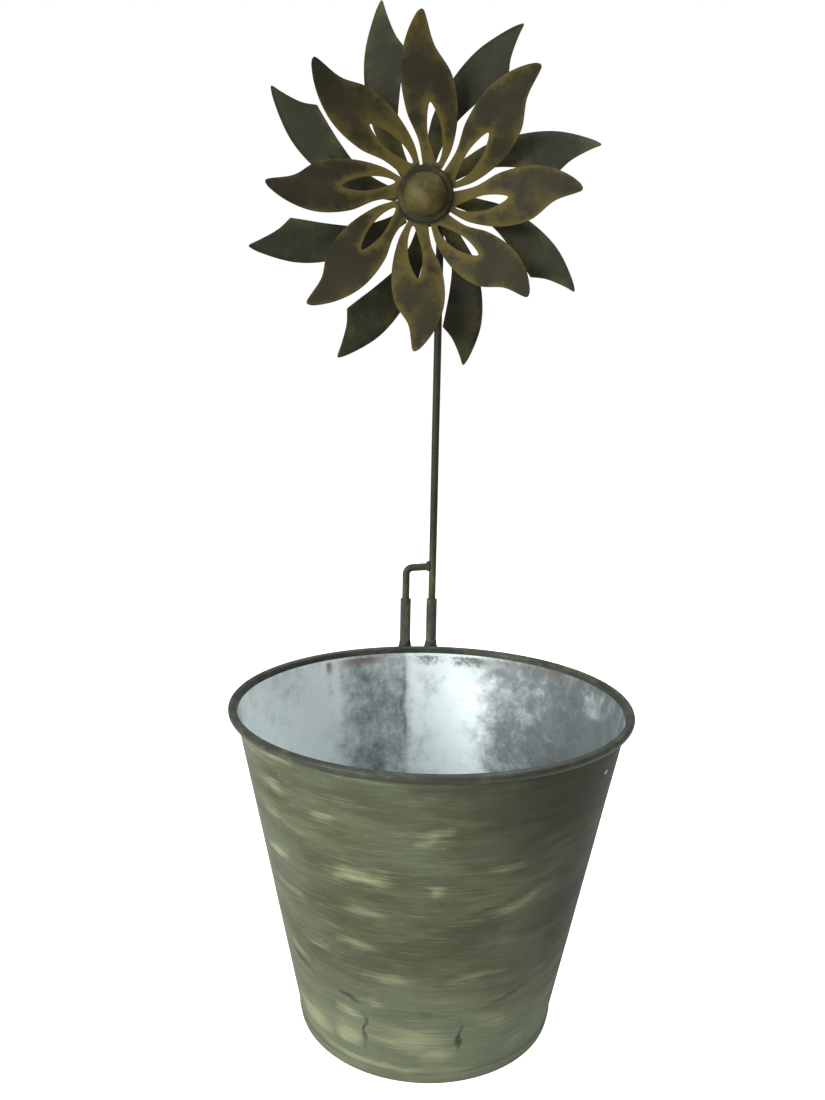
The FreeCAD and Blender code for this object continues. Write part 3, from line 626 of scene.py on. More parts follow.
def sheet_waves(angle, height):
    """Slight flats from rolling the sheet and small dents from use."""
    turn = math.radians(angle)
    around = Vector((math.cos(turn), math.sin(turn), 0))
    broad = noise.noise(around * 1.7 + Vector((3, 1, height * 7)))
    flats = noise.noise(around * 6.5 + Vector((0, 9, height * 1.5)))
    dents = noise.noise(around * 4.2 + Vector((5, 5, height * 26)))
    return (0.28 * broad + 0.16 * flats + 0.1 * dents) * MM


def freedom(angle, height):
    """How freely the sheet waves: not at the hem, less near the rim and where the sockets are welded on."""
    above_hem = min(1.0, max(0.0, height - HEM) / (12 * MM))
    below_rim = min(1.0, max(0.0, RIM_TOP + 4 * MM - height) / (14 * MM))
    return above_hem * below_rim * (1 - 0.9 * math.exp(-(((angle % 360) - 180) / 18) ** 2))


def arc(centre, radius, start, end, steps):
    """Points round a centre in a profile, between two angles in degrees from outwards."""
    turns = [math.radians(start + (end - start) * step / steps) for step in range(steps + 1)]
    return [Vector((centre[0] + radius * math.cos(t), centre[1] + radius * math.sin(t))) for t in turns]


def pot_profile():
    """The wall's section as points with their part: up the outside, round the roll, down the inside."""
    bead = (BEAD_CENTRE, BEAD_HEIGHT)
    hem = rounded([
        (WALL_FOOT - SHEET, 0.0),
        (WALL_FOOT + SHEET, 0.0, 0.6 * MM),
        (wall_radius(HEM) + SHEET, HEM, 0.5 * MM),
        (wall_radius(HEM) + 0.1 * MM, HEM + 0.3 * MM),
    ])
    start = HEM + 0.6 * MM
    outside = subdivide([Vector((wall_radius(start), start)), Vector((WALL_TOP, BEAD_HEIGHT))], 2.4 * MM)
    under_roll = arc(bead, WIRE_RADIUS + 0.05 * MM, 165, -112, 22)
    roll_edge = arc(bead, BEAD_RADIUS, -118, 180, 30)
    paint_end = BEAD_HEIGHT - 1.6 * MM
    lip = [Vector((wall_radius(paint_end) - SHEET, paint_end))]
    inside = subdivide([lip[0], Vector((WALL_FOOT - SHEET, 0.0))], 2.4 * MM)[1:-1]
    rows = [(p, "paint") for p in hem + outside]
    rows += [(p, "rim") for p in under_roll + roll_edge + lip]
    rows += [(p, "zinc") for p in inside]
    return rows


def make_pot_shell():
    rows = pot_profile()
    angles = pot_angles()
    count = len(angles)
    verts = []
    for (radius, height), part in rows:
        for angle in angles:
            shift = sheet_waves(angle, height) * freedom(angle, height)
            if part == "zinc":
                shift -= lap_offset(angle, LAP_ANGLE)
            if part == "paint" and height > HEM:
                shift += lap_offset(-angle, LAP_WIDTH - LAP_ANGLE)
            turn = math.radians(angle)
            r = radius + shift
            verts.append((r * math.sin(turn), -r * math.cos(turn), height))
    faces = skin(ring_rows(len(rows), count), closed=True)
    order = {"paint": 0, "rim": 1, "zinc": 2}
    looks = [order[part] for _, part in rows[1:] + rows[:1] for _ in range(count)]
    piece = new_piece("pot_shell", verts, faces, [POT_PAINT, RIM_PAINT, POT_ZINC], 40)
    piece.data.polygons.foreach_set("material_index", looks)

    around = np.tile(np.array(angles), len(rows))
    heights = np.repeat(np.array([p[1] for p, _ in rows]) / MM, count)
    inner = np.repeat(np.array([part == "zinc" for _, part in rows]), count)
    drift = np.array([lumpy(v, STROKE_DRIFT_SIZE, 21) for v in verts])
    jitter = np.array([lumpy(v, STROKE_DRIFT_SIZE / 3, 22) for v in verts])
    stroke_around = around + STROKE_DRIFT * jitter
    stroke_heights = heights + STROKE_DRIFT * (drift + 0.4 * jitter)
    # The outer paint layer holds cream strokes, dark marks with painted shade, and bare chips.
    outer_paint = [
        stroke_mask(CREAM_STROKES_AND_HEM_HIGHLIGHT + back_strokes(), stroke_around, stroke_heights),
        stroke_mask(DARK_MARKS_AND_PAINTED_SHADE, stroke_around, stroke_heights),
        stroke_mask(BARE_CHIPS, around, heights),
    ]
    inner_paint = [stroke_mask(marks, around, heights) for marks in (RUST_STAINS, DARK_SMEARS, OCHRE_STAINS)]
    paint_layer(piece, "paint", [np.where(inner, i, o) for o, i in zip(outer_paint, inner_paint)])
    # Painted reflections on the zinc: light and dark stripes, and a painted shadow line by the lap seam.
    band_around = around + STROKE_DRIFT / 3 * drift
    painted_reflections = [stroke_mask(marks, band_around, heights) for marks in (PAINTED_LIGHT_REFLECTIONS, PAINTED_DARK_REFLECTIONS_AND_SHADE)]
    paint_layer(piece, "painted_reflections", painted_reflections + [np.zeros_like(around)])
    settle(piece, "pot", "pot_sheet", "pot_wall")


def make_pot_base():
    """The pan in the pot's foot, with two pressed rings that stiffen it."""
    radius = high("pot_base").x
    foot = WALL_FOOT - SHEET - 0.05 * MM
    ring_middles = (0.45 * foot, 0.78 * foot)

    def pressed(r):
        lift = sum(max(0.0, 1 - ((r - ring) / (3.5 * MM)) ** 2) ** 2 for ring in ring_middles)
        return 0.9 * MM * lift

    floor_points = [foot * 0.97 * step / 60 for step in range(61)]
    upper = [Vector((r, SHEET + pressed(r))) for r in floor_points]
    rim = rounded([
        (foot * 0.97, SHEET), (foot - SHEET, SHEET, 1.2 * MM), (radius - SHEET, FLANGE, 0.2 * MM),
        (radius - 0.05 * MM, FLANGE, 0.2 * MM), (foot, 0.0, 0.8 * MM), (foot * 0.97, 0.0),
    ])
    lower = [Vector((r, pressed(r))) for r in reversed(floor_points[:-1])]
    piece = lathe("pot_base_pan", upper + rim[1:] + lower, [POT_ZINC], Matrix(), 160, closed=False, sharp=50)
    settle(piece, "pot", "pot_sheet", "pot_base")


make_pot_shell()
make_pot_base()


# ---- Sockets at the back of the rim ----

def make_socket_tube(name, node, seed):
    """A slightly crushed tube with softened ends and a closed bottom."""
    centre = middle(node)
    length = high(node).z - low(node).z
    corners = [
        (0.0, 0.0), (TUBE_RADIUS, 0.0, 0.7 * MM), (TUBE_RADIUS, length, 0.35 * MM),
        (TUBE_BORE, length, 0.25 * MM), (TUBE_BORE, 2 * MM), (0.0, 2 * MM),
    ]

    def shape(radius, height, angle):
        spot = (math.cos(angle), math.sin(angle), height / (9 * MM))
        return radius + 0.05 * MM * lumpy(spot, 1.0, seed), height + 0.06 * MM * lumpy(spot, 0.8, seed + 3)

    profile = subdivide(rounded(corners), 3 * MM)
    place = Matrix.Translation((centre.x, centre.y, low(node).z))
    piece = lathe(name, profile, [TUBE_PAINT], place, 48, closed=False, shape=shape)
    settle(piece, "pot", "socket_steel", node)


def make_rim_weld(name, node, socket, seed):
    """A slim weld that flares from the tube onto the rim, uneven round the tube."""
    centre = middle(socket)
    foot, top = low(node).z, high(node).z
    flare = (high(node).x - low(node).x) / 2
    hidden = TUBE_RADIUS - 0.3 * MM
    rise = top - foot
    outline = [
        (hidden, -0.5 * MM), (flare - 0.2 * MM, -0.3 * MM), (flare, 0.8 * MM),
        (flare - 0.15 * MM, 0.35 * rise), (TUBE_RADIUS + 0.45 * MM, 0.7 * rise),
        (TUBE_RADIUS + 0.12 * MM, 0.95 * rise), (hidden, rise + 0.3 * MM),
    ]

    def shape(radius, height, angle):
        spot = (math.cos(angle), math.sin(angle), height / (4 * MM))
        swell = 0.35 * MM * lumpy(spot, 0.55, seed) if radius > hidden else 0.0
        return radius + swell, height + 0.5 * MM * lumpy(spot, 0.9, seed + 4)

    profile = subdivide([Vector(p) for p in outline], 0.7 * MM)
    place = Matrix.Translation((centre.x, centre.y, foot))
    piece = lathe(name, profile, [WELD_PAINT], place, 56, shape=shape, sharp=80)
    settle(piece, "pot", "weld_metal", node)


def in_loop(points, loop):
    """Which of the points lie inside a closed loop of points, by counting crossings."""
    inside = np.zeros(len(points), bool)
    ends = np.roll(loop, -1, axis=0)
    for (ax, ay), (bx, by) in zip(loop, ends):
        crosses = (ay > points[:, 1]) != (by > points[:, 1])
        if ay != by:
            reach = ax + (points[:, 1] - ay) * (bx - ax) / (by - ay)
            inside ^= crosses & (points[:, 0] < reach)
    return inside


def nearest(points, line):
    """Distance from each point to the nearest of a line's points."""
    best = np.full(len(points), 1e9)
    for start in range(0, len(line), 400):
        gaps = points[:, None, :] - line[None, start:start + 400, :]
        best = np.minimum(best, np.sqrt((gaps ** 2).sum(-1)).min(1))
    return best


def cut_sheet(loops, spacing, keep):
    """Flat triangles of a sheet cut along closed loops. keep(points) says which points are metal."""
    border = np.concatenate(loops)
    edges = []
    start = 0
    for loop in loops:
        count = len(loop)
        edges += [(start + i, start + (i + 1) % count) for i in range(count)]
        start += count
    lowest, highest = border.min(0), border.max(0)
    rows = []
    step = spacing * math.sqrt(0.75)
    for row in range(int((highest[1] - lowest[1]) / step) + 1):
        shift = spacing / 2 * (row % 2)
        xs = np.arange(lowest[0] + shift, highest[0], spacing)
        rows.append(np.stack([xs, np.full_like(xs, lowest[1] + row * step)], 1))
    grid = np.concatenate(rows)
    grid = grid[keep(grid)]
    grid = grid[nearest(grid, border) > 0.6 * spacing]
    flat = [Vector(p) for p in np.concatenate([border, grid])]
    points, _, faces, *_ = delaunay_2d_cdt(flat, edges, [], 0, 1e-7)
    points = np.array([tuple(p) for p in points])
    faces = np.array([f for f in faces if len(f) == 3])
    faces = faces[keep(points[faces].mean(1))]
    used = np.unique(faces)
    number = np.full(len(points), -1)
    number[used] = np.arange(len(used))
    return points[used], number[faces]


def thicken(points, faces, thickness, edge):
    """Verts and faces of a sheet of the given thickness around a bent surface, with chamfered edges."""
    corner = points[faces]
    face_normals = np.cross(corner[:, 1] - corner[:, 0], corner[:, 2] - corner[:, 0])
    normals = np.zeros_like(points)
    for column in range(3):
        np.add.at(normals, faces[:, column], face_normals)
    normals /= np.linalg.norm(normals, axis=1)[:, None]
    sides = dict.fromkeys((int(face[i]), int(face[(i + 1) % 3])) for face in faces for i in range(3))
    border = [(a, b) for a, b in sides if (b, a) not in sides]
    outward = np.zeros_like(points)
    for a, b in border:
        away = np.cross(points[b] - points[a], normals[a])
        away /= np.linalg.norm(away)
        outward[a] += away
        outward[b] += away
    lengths = np.linalg.norm(outward, axis=1)
    rim = np.flatnonzero(lengths > 0)
    outward[rim] /= lengths[rim][:, None]
    half = (thickness / 2)[:, None] if isinstance(thickness, np.ndarray) else thickness / 2
    top = points + normals * half - outward * edge
    bottom = points - normals * half - outward * edge
    upper = (points + normals * (half - edge))[rim]
    lower = (points - normals * (half - edge))[rim]
    count = len(points)
    ring = {int(v): i for i, v in enumerate(rim)}
    verts = np.concatenate([top, bottom, upper, lower])
    all_faces = [tuple(f) for f in faces.tolist()]
    all_faces += [(f[0] + count, f[2] + count, f[1] + count) for f in faces.tolist()]
    first, second = 2 * count, 2 * count + len(rim)
    for a, b in border:
        ra, rb = ring[a], ring[b]
        all_faces.append((b, a, first + ra, first + rb))
        all_faces.append((first + rb, first + ra, second + ra, second + rb))
        all_faces.append((second + rb, second + ra, a + count, b + count))
    return verts, all_faces, rim


def circle(x, y, radius, count):
    turns = np.arange(count) * 2 * math.pi / count
    return np.stack([x + radius * np.cos(turns), y + radius * np.sin(turns)], 1)


def make_bracket():
    """The plate behind the wall that ties the two sockets together, with rounded corners."""
    lowest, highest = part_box("socket_plate")
    height = middle("socket_plate").z
    wall = wall_radius(height)
    margin = 0.05 * MM
    turns = np.linspace(math.atan2(wall, highest.x), math.pi - math.atan2(wall, -lowest.x), 24)
    front = [Vector((x, math.sqrt(wall ** 2 - x ** 2))) for x in wall * np.cos(turns)]
    back = rounded([
        front[-1], (lowest.x, highest.y, 4 * MM), (highest.x, highest.y, 4 * MM), front[0],
    ], 8)
    outline = subdivide([Vector(p) for p in list(front) + back[1:-1] + [front[0]]], 1.5 * MM)[:-1]
    loop = np.array([tuple(p) for p in outline])
    stem, leg = middle("stem_socket"), middle("leg_socket")
    holes = [circle(c.x, c.y, TUBE_RADIUS + margin, 36) for c in (stem, leg)]

    def metal(points):
        return in_loop(points, loop) & ~in_loop(points, holes[0]) & ~in_loop(points, holes[1])

    flat, faces = cut_sheet([loop] + holes, 2.5 * MM, metal)
    points = np.column_stack([flat, np.full(len(flat), height)])
    verts, all_faces, _ = thicken(points, faces, highest.z - lowest.z, 0.3 * MM)
    piece = new_piece("socket_bracket", verts, all_faces, [BRACKET_PAINT], 30)
    settle(piece, "pot", "socket_steel", "socket_plate")


def make_bracket_weld():
    """A fillet weld under the bracket, with the ripples of a weld laid bead by bead."""
    lowest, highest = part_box("plate_weld")
    height = highest.z
    size = height - lowest.z
    wall = wall_radius(height)
    root = wall - 0.4 * MM
    start = math.atan2(highest.x, wall)
    end = math.atan2(lowest.x, wall)
    stations = 90
    ripples = 17
    sides = 10
    verts = []
    for station in range(stations + 1):
        share = station / stations
        turn = start + (end - start) * share
        ripple = 0.82 + 0.18 * abs(math.sin(math.pi * ripples * share)) ** 0.6
        close = min(1.0, 6 * share + 0.35, 6 * (1 - share) + 0.35)
        bulge = size * ripple * close
        out = Vector((math.sin(turn), math.cos(turn), 0))
        for side in range(sides):
            around = math.radians(95 + 80 * side / (sides - 1))
            verts.append(out * (root + bulge * math.sin(around) * 1.1)
                         + Vector((0, 0, height + bulge * math.cos(around) * 1.05)))
        verts.append(out * root + Vector((0, 0, height + 0.2 * MM)))
    rings = ring_rows(stations + 1, sides + 1)
    piece = new_piece("bracket_weld", verts, skin(rings) + [rings[0], rings[-1]], [WELD_PAINT], 60)
    settle(piece, "pot", "weld_metal", "plate_weld")


make_socket_tube("stem_socket_tube", "stem_socket", 1)
make_socket_tube("leg_socket_tube", "leg_socket", 2)
make_rim_weld("stem_rim_weld", "stem_socket_weld", "stem_socket", 3)
make_rim_weld("leg_rim_weld", "leg_socket_weld", "leg_socket", 4)
make_bracket()
make_bracket_weld()


# ---- Stake: stem, side leg, axle sleeve and their welds ----

BEND_RADIUS = 4.5 * MM
LEG_RISE = 1.0 * MM       # the level part climbs this much towards the stem


def make_stem_bar():
    foot, top = low("stem_rod").z, high("stem_rod").z
    path = []
    for step in range(61):
        height = foot + (top - foot) * step / 60
        sway = 0.15 * MM * math.sin(math.pi * step / 60) * lumpy((height * 12, 0, 0), 1.0, 4)
        path.append(Vector((STEM.x + sway, STEM.y, height)))
    piece = rod("stem_bar", path, ROD_RADIUS, [ROD_PAINT])
    settle(piece, "stake", "stake_steel", "stem_rod")


def make_side_leg_bar():
    """One bar up from its socket and over to the stem, round a bend, with the level part climbing a little
    towards the stem.
    """
    foot = low("side_leg").z
    level = high("side_leg").z - ROD_RADIUS - LEG_RISE
    toward = Vector((STEM.x - LEG.x, STEM.y - LEG.y, 0))
    span = toward.length
    toward.normalize()
    base = Vector((LEG.x, LEG.y, 0))
    upright = level - BEND_RADIUS
    path = [base + Vector((0, 0, foot + (upright - foot) * step / 24)) for step in range(25)]
    for step in range(1, 13):
        turn = math.radians(7.5 * step)
        path.append(base + toward * (BEND_RADIUS * (1 - math.cos(turn)))
                    + Vector((0, 0, upright + BEND_RADIUS * math.sin(turn))))
    for step in range(1, 9):
        share = step / 8
        path.append(base + toward * (BEND_RADIUS + (span - BEND_RADIUS) * share)
                    + Vector((0, 0, level + LEG_RISE * share)))
    piece = rod("side_leg_bar", path, ROD_RADIUS, [ROD_PAINT])
    settle(piece, "stake", "stake_steel", "side_leg")


def make_stake_weld(name, node, fill, shift, seed):
    """A lump that takes up a share of its node's box on each axis."""
    half = (high(node) - low(node)) / 2
    radii = [share * size for share, size in zip(fill, half)]
    piece = blob(name, middle(node) + Vector((shift, 0, 0)), radii, [WELD_PAINT], seed)
    settle(piece, "stake", "weld_metal", node)


def on_axle(forward_end_y):
    """The matrix whose own Z runs forward along the axle, starting at the given Y."""
    turn = Matrix.Rotation(math.radians(90), 4, "X")
    return Matrix.Translation((AXLE.x, forward_end_y, AXLE.z)) @ turn


def make_axle_tube():
    length = high("axle_sleeve").y - low("axle_sleeve").y
    radius = (high("axle_sleeve").x - low("axle_sleeve").x) / 2
    bore = AXLE_RADIUS + 0.1 * MM
    corners = [(bore, length / 2), (bore, 0.0, 0.3 * MM), (radius, 0.0, 0.5 * MM),
               (radius, length, 0.5 * MM), (bore, length, 0.3 * MM), (bore, length / 2)]
    profile = subdivide(rounded(corners), 3 * MM)[:-1]
    piece = lathe("axle_tube", profile, [ROD_PAINT], on_axle(high("axle_sleeve").y), 56)
    settle(piece, "stake", "stake_steel", "axle_sleeve")


HEX_FLATS = high("lock_nut").z - low("lock_nut").z
HEX_BLANK = 0.6 * HEX_FLATS           # a lathe point out here is moved to the hexagon's side
HEX_FACE = 0.47 * HEX_FLATS           # the flat face's edge, inside the chamfer
CHAMFER_SLOPE = math.tan(math.radians(30))


def hexagon_shape(waist):
    """A lathe shape function that makes the blank's points a hexagon, with its corners chamfered as on a real
    nut above and below the waist's height."""
    def shape(radius, height, angle):
        if radius < HEX_BLANK - ON_AXIS:
            return radius, height
        sector = math.radians(60)
        reach = HEX_FLATS / 2 / math.cos((angle + sector / 2) % sector - sector / 2)
        drop = (reach - 0.49 * HEX_FLATS) * CHAMFER_SLOPE
        return reach, height - drop if height > waist else height + drop
    return shape


def make_nut(name, node):
    length = high(node).y - low(node).y
    bore = AXLE_RADIUS
    profile = [Vector(p) for p in (
        (bore, 0.4 * MM), (bore + 0.4 * MM, 0.0), (HEX_FACE, 0.0), (HEX_BLANK, 0.0), (HEX_BLANK, length),
        (HEX_FACE, length), (bore + 0.4 * MM, length), (bore, length - 0.4 * MM),
    )]
    shape = hexagon_shape(length / 2)
    piece = lathe(name, profile, [FASTENER], on_axle(high(node).y), 96, shape=shape, sharp=25)
    settle(piece, "stake", "fastener_steel", node)


def make_bolt():
    """Head, plain shank and a threaded end."""
    back = high("axle_bolt").y
    length = back - low("axle_bolt").y
    head = 4 * MM
    thread_start = back - high("front_washer").y
    pitch = 1.0 * MM
    profile = [(0.0, 0.0), (HEX_FACE, 0.0), (HEX_BLANK, 0.0), (HEX_BLANK, head),
               (AXLE_RADIUS + 0.3 * MM, head), (AXLE_RADIUS, head + 0.3 * MM), (AXLE_RADIUS, thread_start)]
    turns = int((length - thread_start - 0.8 * MM) / pitch)
    for turn in range(turns):
        at = thread_start + turn * pitch
        profile += [(AXLE_RADIUS - 0.45 * MM, at + 0.5 * pitch), (AXLE_RADIUS, at + pitch)]
    profile += [(AXLE_RADIUS - 0.5 * MM, length), (0.0, length)]
    piece = lathe("axle_bolt_bar", [Vector(p) for p in profile], [FASTENER], on_axle(back), 96,
                  closed=False, shape=hexagon_shape(head / 2), sharp=25)
    settle(piece, "stake", "fastener_steel", "axle_bolt")


make_stem_bar()
make_side_leg_bar()
make_stake_weld("leg_weld_bead", "leg_weld", (0.78, 0.8, 0.95), 0.1 * MM, 6)
make_stake_weld("sleeve_weld_bead", "sleeve_weld", (0.9, 1.0, 1.0), 0.0, 9)
make_axle_tube()
make_bolt()
make_nut("clamp_nut_hexagon", "clamp_nut")
make_nut("lock_nut_hexagon", "lock_nut")


# ---- Wheels ----
# A petal is drawn pointing along +X with the axle at the origin, seen from the front. Its outline is given as
# (how far from the solid middle to the tip, sideways as a share of the petal's width), root to tip.

FRONT_FULL_SIDE = [(-0.03, 0.06), (0.17, 0.16), (0.36, 0.38), (0.61, 0.47), (0.82, 0.345), (0.975, 0.10)]
FRONT_HOLLOW_SIDE = [
    (-0.03, -0.30), (0.13, -0.475), (0.39, -0.56), (0.62, -0.45), (0.79, -0.15), (0.94, -0.04),
]
FRONT_LEAF = [(0.015, -0.21), (0.11, -0.10), (0.26, 0.0), (0.43, -0.05), (0.30, -0.235), (0.12, -0.29)]
REAR_FULL_SIDE = [(-0.03, 0.40), (0.14, 0.595), (0.29, 0.735), (0.54, 0.735), (0.75, 0.565), (0.94, 0.185)]
REAR_NECK_SIDE = [(-0.03, 0.14), (0.12, 0.225), (0.29, 0.225), (0.45, 0.07), (0.69, -0.25)]
REAR_SHOULDER_SIDE = [(0.69, -0.25), (0.78, -0.11), (0.92, -0.02)]
TIP = (1.0, 0.0)
PETALS = 8
BEND_POWER = 1.4
OUTLINE_STEP = 1.1 * MM
TIP_ROUNDING = 4 * MM
TIP_ROUNDS = 5            # how many times the tip is smoothed
RIPPLE_SIZE = 16 * MM
RIPPLE_DEPTH = 0.35 * MM
CUP_DEPTH = 0.9 * MM      # a petal's long edges lie this far behind its middle line
FOLD_WIDTH = 4.2 * MM     # the rear petals' turned-back edge
FOLD_DEPTH = 1.5 * MM
PETAL_SPACING = 2.1 * MM
PETAL_CHAMFER = 0.2 * MM
EDGE_WEAR = 4.5 * MM      # how far from an edge the paint is rubbed
LEAF_WEAR = 6 * MM        # the same round the leaf-shaped holes
ARM_LENGTH = 16 * MM      # rubbed roots of the petals
MIDDLE_SHEET = 1.2 * MM   # a wheel's solid middle, behind its hub plate


def curve_through(points, closed=False):
    """A smooth line of closely spaced points through the given ones."""
    points = [Vector(p) for p in points]
    count = len(points)
    if closed:
        spans = [[points[(i + k) % count] for k in (-1, 0, 1, 2)] for i in range(count)]
    else:
        ends = [2 * points[0] - points[1]] + points + [2 * points[-1] - points[-2]]
        spans = [ends[i:i + 4] for i in range(count - 1)]
    line = []
    for before, start, end, after in spans:
        steps = max(2, round((end - start).length / OUTLINE_STEP))
        knots = [0.0]
        for a, b in ((before, start), (start, end), (end, after)):
            knots.append(knots[-1] + math.sqrt((b - a).length))
        k0, k1, k2, k3 = knots
        for step in range(steps):
            t = k1 + (k2 - k1) * step / steps
            a1 = before.lerp(start, (t - k0) / (k1 - k0))
            a2 = start.lerp(end, (t - k1) / (k2 - k1))
            a3 = end.lerp(after, (t - k2) / (k3 - k2))
            b1 = a1.lerp(a2, (t - k0) / (k2 - k0))
            b2 = a2.lerp(a3, (t - k1) / (k3 - k1))
            line.append(b1.lerp(b2, (t - k1) / (k2 - k1)))
    if not closed:
        line.append(points[-1])
    return line


class Wheel:
    """One wheel's petals, in mm and degrees. The bends are each petal's own small differences, clockwise from
    the top: a turn in degrees, a reach as a share and a lift in mm at the tip."""

    def __init__(self, side, tip, width, rise, twist, twist_line, phase, lean, ripple_seed, bends):
        self.side = side
        self.tip = tip * MM
        self.width = width * MM
        self.rise = rise * MM
        self.twist = math.radians(twist)
        self.twist_line = twist_line * width * MM
        self.phase = phase
        self.lean = lean
        self.ripple_seed = ripple_seed
        self.bends = np.array(bends)
        self.root = 17 * MM
        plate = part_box(side + "_hub_plate")
        self.back_y = plate[1].y + 0.6 * MM

    def at(self, share, sideways):
        return self.root + share * (self.tip - self.root), sideways * self.width

    def line(self, shares, closed=False):
        return curve_through([self.at(*share) for share in shares], closed)

    def height(self, share, side):
        """Forward height of the bent sheet."""
        share = np.clip(share, 0, None)
        bend = self.rise * share ** BEND_POWER
        twist = self.twist * (1 - (1 - share) ** 2)
        return bend + (side - self.twist_line * (1 - share ** 2)) * np.tan(twist)

    def turned(self, line, petal):
        """A petal's line turned to its place round the wheel."""
        turn = math.radians(self.phase - petal * 360 / PETALS)
        cos, sin = math.cos(turn), math.sin(turn)
        return np.array([(p.x * cos - p.y * sin, p.x * sin + p.y * cos) for p in line])

    def copies(self, line):
        """A petal's line at every petal's place, or nothing where the petals have no such line."""
        return [self.turned(line, petal) for petal in range(PETALS)] if line else []


def softened(outline, tip):
    """The outline with its tip rounded."""
    points = [p.copy() for p in outline]
    near = [i for i, p in enumerate(points) if (p - tip).length < TIP_ROUNDING]
    for _ in range(TIP_ROUNDS):
        moved = {i: (points[i - 1] + 2 * points[i] + points[(i + 1) % len(points)]) / 4 for i in near}
        for i, p in moved.items():
            points[i] = p
    return points


def bent(wheel, flat, folded_edges):
    """The flat sheet's points bent to the wheel's shape, and how far each is folded back along an edge."""
    reach = np.hypot(flat[:, 0], flat[:, 1])
    share_out = np.clip((reach - wheel.root) / (wheel.tip - wheel.root), 0, 1)
    angle = np.degrees(np.arctan2(flat[:, 1], flat[:, 0])) - wheel.lean * (1 - share_out) ** 2
    petal = np.round((wheel.phase - angle) * PETALS / 360).astype(int) % PETALS
    turn = np.radians(wheel.phase - petal * 360 / PETALS)
    x = flat[:, 0] * np.cos(turn) + flat[:, 1] * np.sin(turn)
    y = flat[:, 1] * np.cos(turn) - flat[:, 0] * np.sin(turn)
    share = (x - wheel.root) / (wheel.tip - wheel.root)
    outer = np.clip(share, 0, 1) * (reach > wheel.root)
    fold = np.zeros(len(flat))
    if folded_edges:
        gap = nearest(flat, np.concatenate(folded_edges))
        fold = np.clip(1 - gap / FOLD_WIDTH, 0, 1) * np.clip(5 * outer, 0, 1)

    swing, reach_share, lift = wheel.bends[petal].T
    ripple = np.array([lumpy((px, py, 0), RIPPLE_SIZE, wheel.ripple_seed) for px, py in flat])
    z = wheel.height(share, y) + lift * MM * outer ** 2 + RIPPLE_DEPTH * ripple * outer ** 0.5
    z = z - CUP_DEPTH * (2 * y / wheel.width) ** 2 * outer - FOLD_DEPTH * fold ** 1.5
    direction = turn + np.radians(swing) * outer ** 1.5
    stretch = 1 + (reach_share - 1) * outer
    across = stretch * (x * np.cos(direction) - y * np.sin(direction))
    up = stretch * (x * np.sin(direction) + y * np.cos(direction))
    return np.column_stack([across, up, z]), fold


def make_petal_wheel(wheel, outline, leaf, folded_edge, material, slot):
    """Eight petals and their middle, cut from one sheet, bent and a little uneven."""
    petals = wheel.copies(outline)
    leaves = wheel.copies(leaf)
    disc = circle(0, 0, wheel.root, 96)
    bore = circle(0, 0, 5 * MM, 40)

    def metal(points):
        kept = in_loop(points, disc)
        for loop in petals:
            kept |= in_loop(points, loop)
        for loop in leaves:
            kept &= ~in_loop(points, loop)
        return kept & ~in_loop(points, bore)

    flat, faces = cut_sheet(petals + leaves + [disc, bore], PETAL_SPACING, metal)
    points, fold = bent(wheel, flat, wheel.copies(folded_edge))
    reach = np.hypot(flat[:, 0], flat[:, 1])
    thickness = np.where(reach < wheel.root * 1.001, MIDDLE_SHEET, SHEET)
    verts, all_faces, rim = thicken(points, faces, thickness, PETAL_CHAMFER)
    place = on_axle(wheel.back_y)
    placed = [place @ Vector(v) for v in verts]
    piece = new_piece(wheel.side + "_petal_wheel", placed, all_faces, [material], 32)

    edge_gap = nearest(flat, np.concatenate(petals + leaves))
    edge = np.exp(-edge_gap / EDGE_WEAR) * (reach > wheel.root * 1.02)
    arms = 0.8 * np.exp(-((reach - wheel.root) / ARM_LENGTH) ** 2)
    if leaves:
        arms = np.maximum(arms, np.exp(-nearest(flat, np.concatenate(leaves)) / LEAF_WEAR))
    # The fold channel becomes painted shadow along the turned-back edge.
    paint_layer(piece, "edge", [np.concatenate([c, c, c[rim], c[rim]]) for c in (edge, arms, fold)])
    settle(piece, wheel.side + "_wheel", slot, wheel.side + "_petals")


def make_front_wheel():
    bends = [(2.6, 1.01, 0.6), (0.6, 0.99, -0.4), (-0.7, 0.985, 0.3), (0.2, 0.95, -0.7),
             (-2.1, 1.03, 0.5), (0.8, 1.045, 0.8), (0.3, 1.0, -0.5), (-0.8, 1.01, 0.2)]
    wheel = Wheel("front", tip=91, width=31.5, rise=30, twist=15, twist_line=0.0, phase=89, lean=-13,
                  ripple_seed=11, bends=bends)
    full = wheel.line(FRONT_FULL_SIDE + [TIP])
    hollow = wheel.line(FRONT_HOLLOW_SIDE + [TIP])
    outline = softened(full + hollow[-2::-1], Vector((wheel.tip, 0)))
    leaf = wheel.line(FRONT_LEAF, closed=True)
    make_petal_wheel(wheel, outline, leaf, None, FRONT_PAINT, "front_petal_paint")


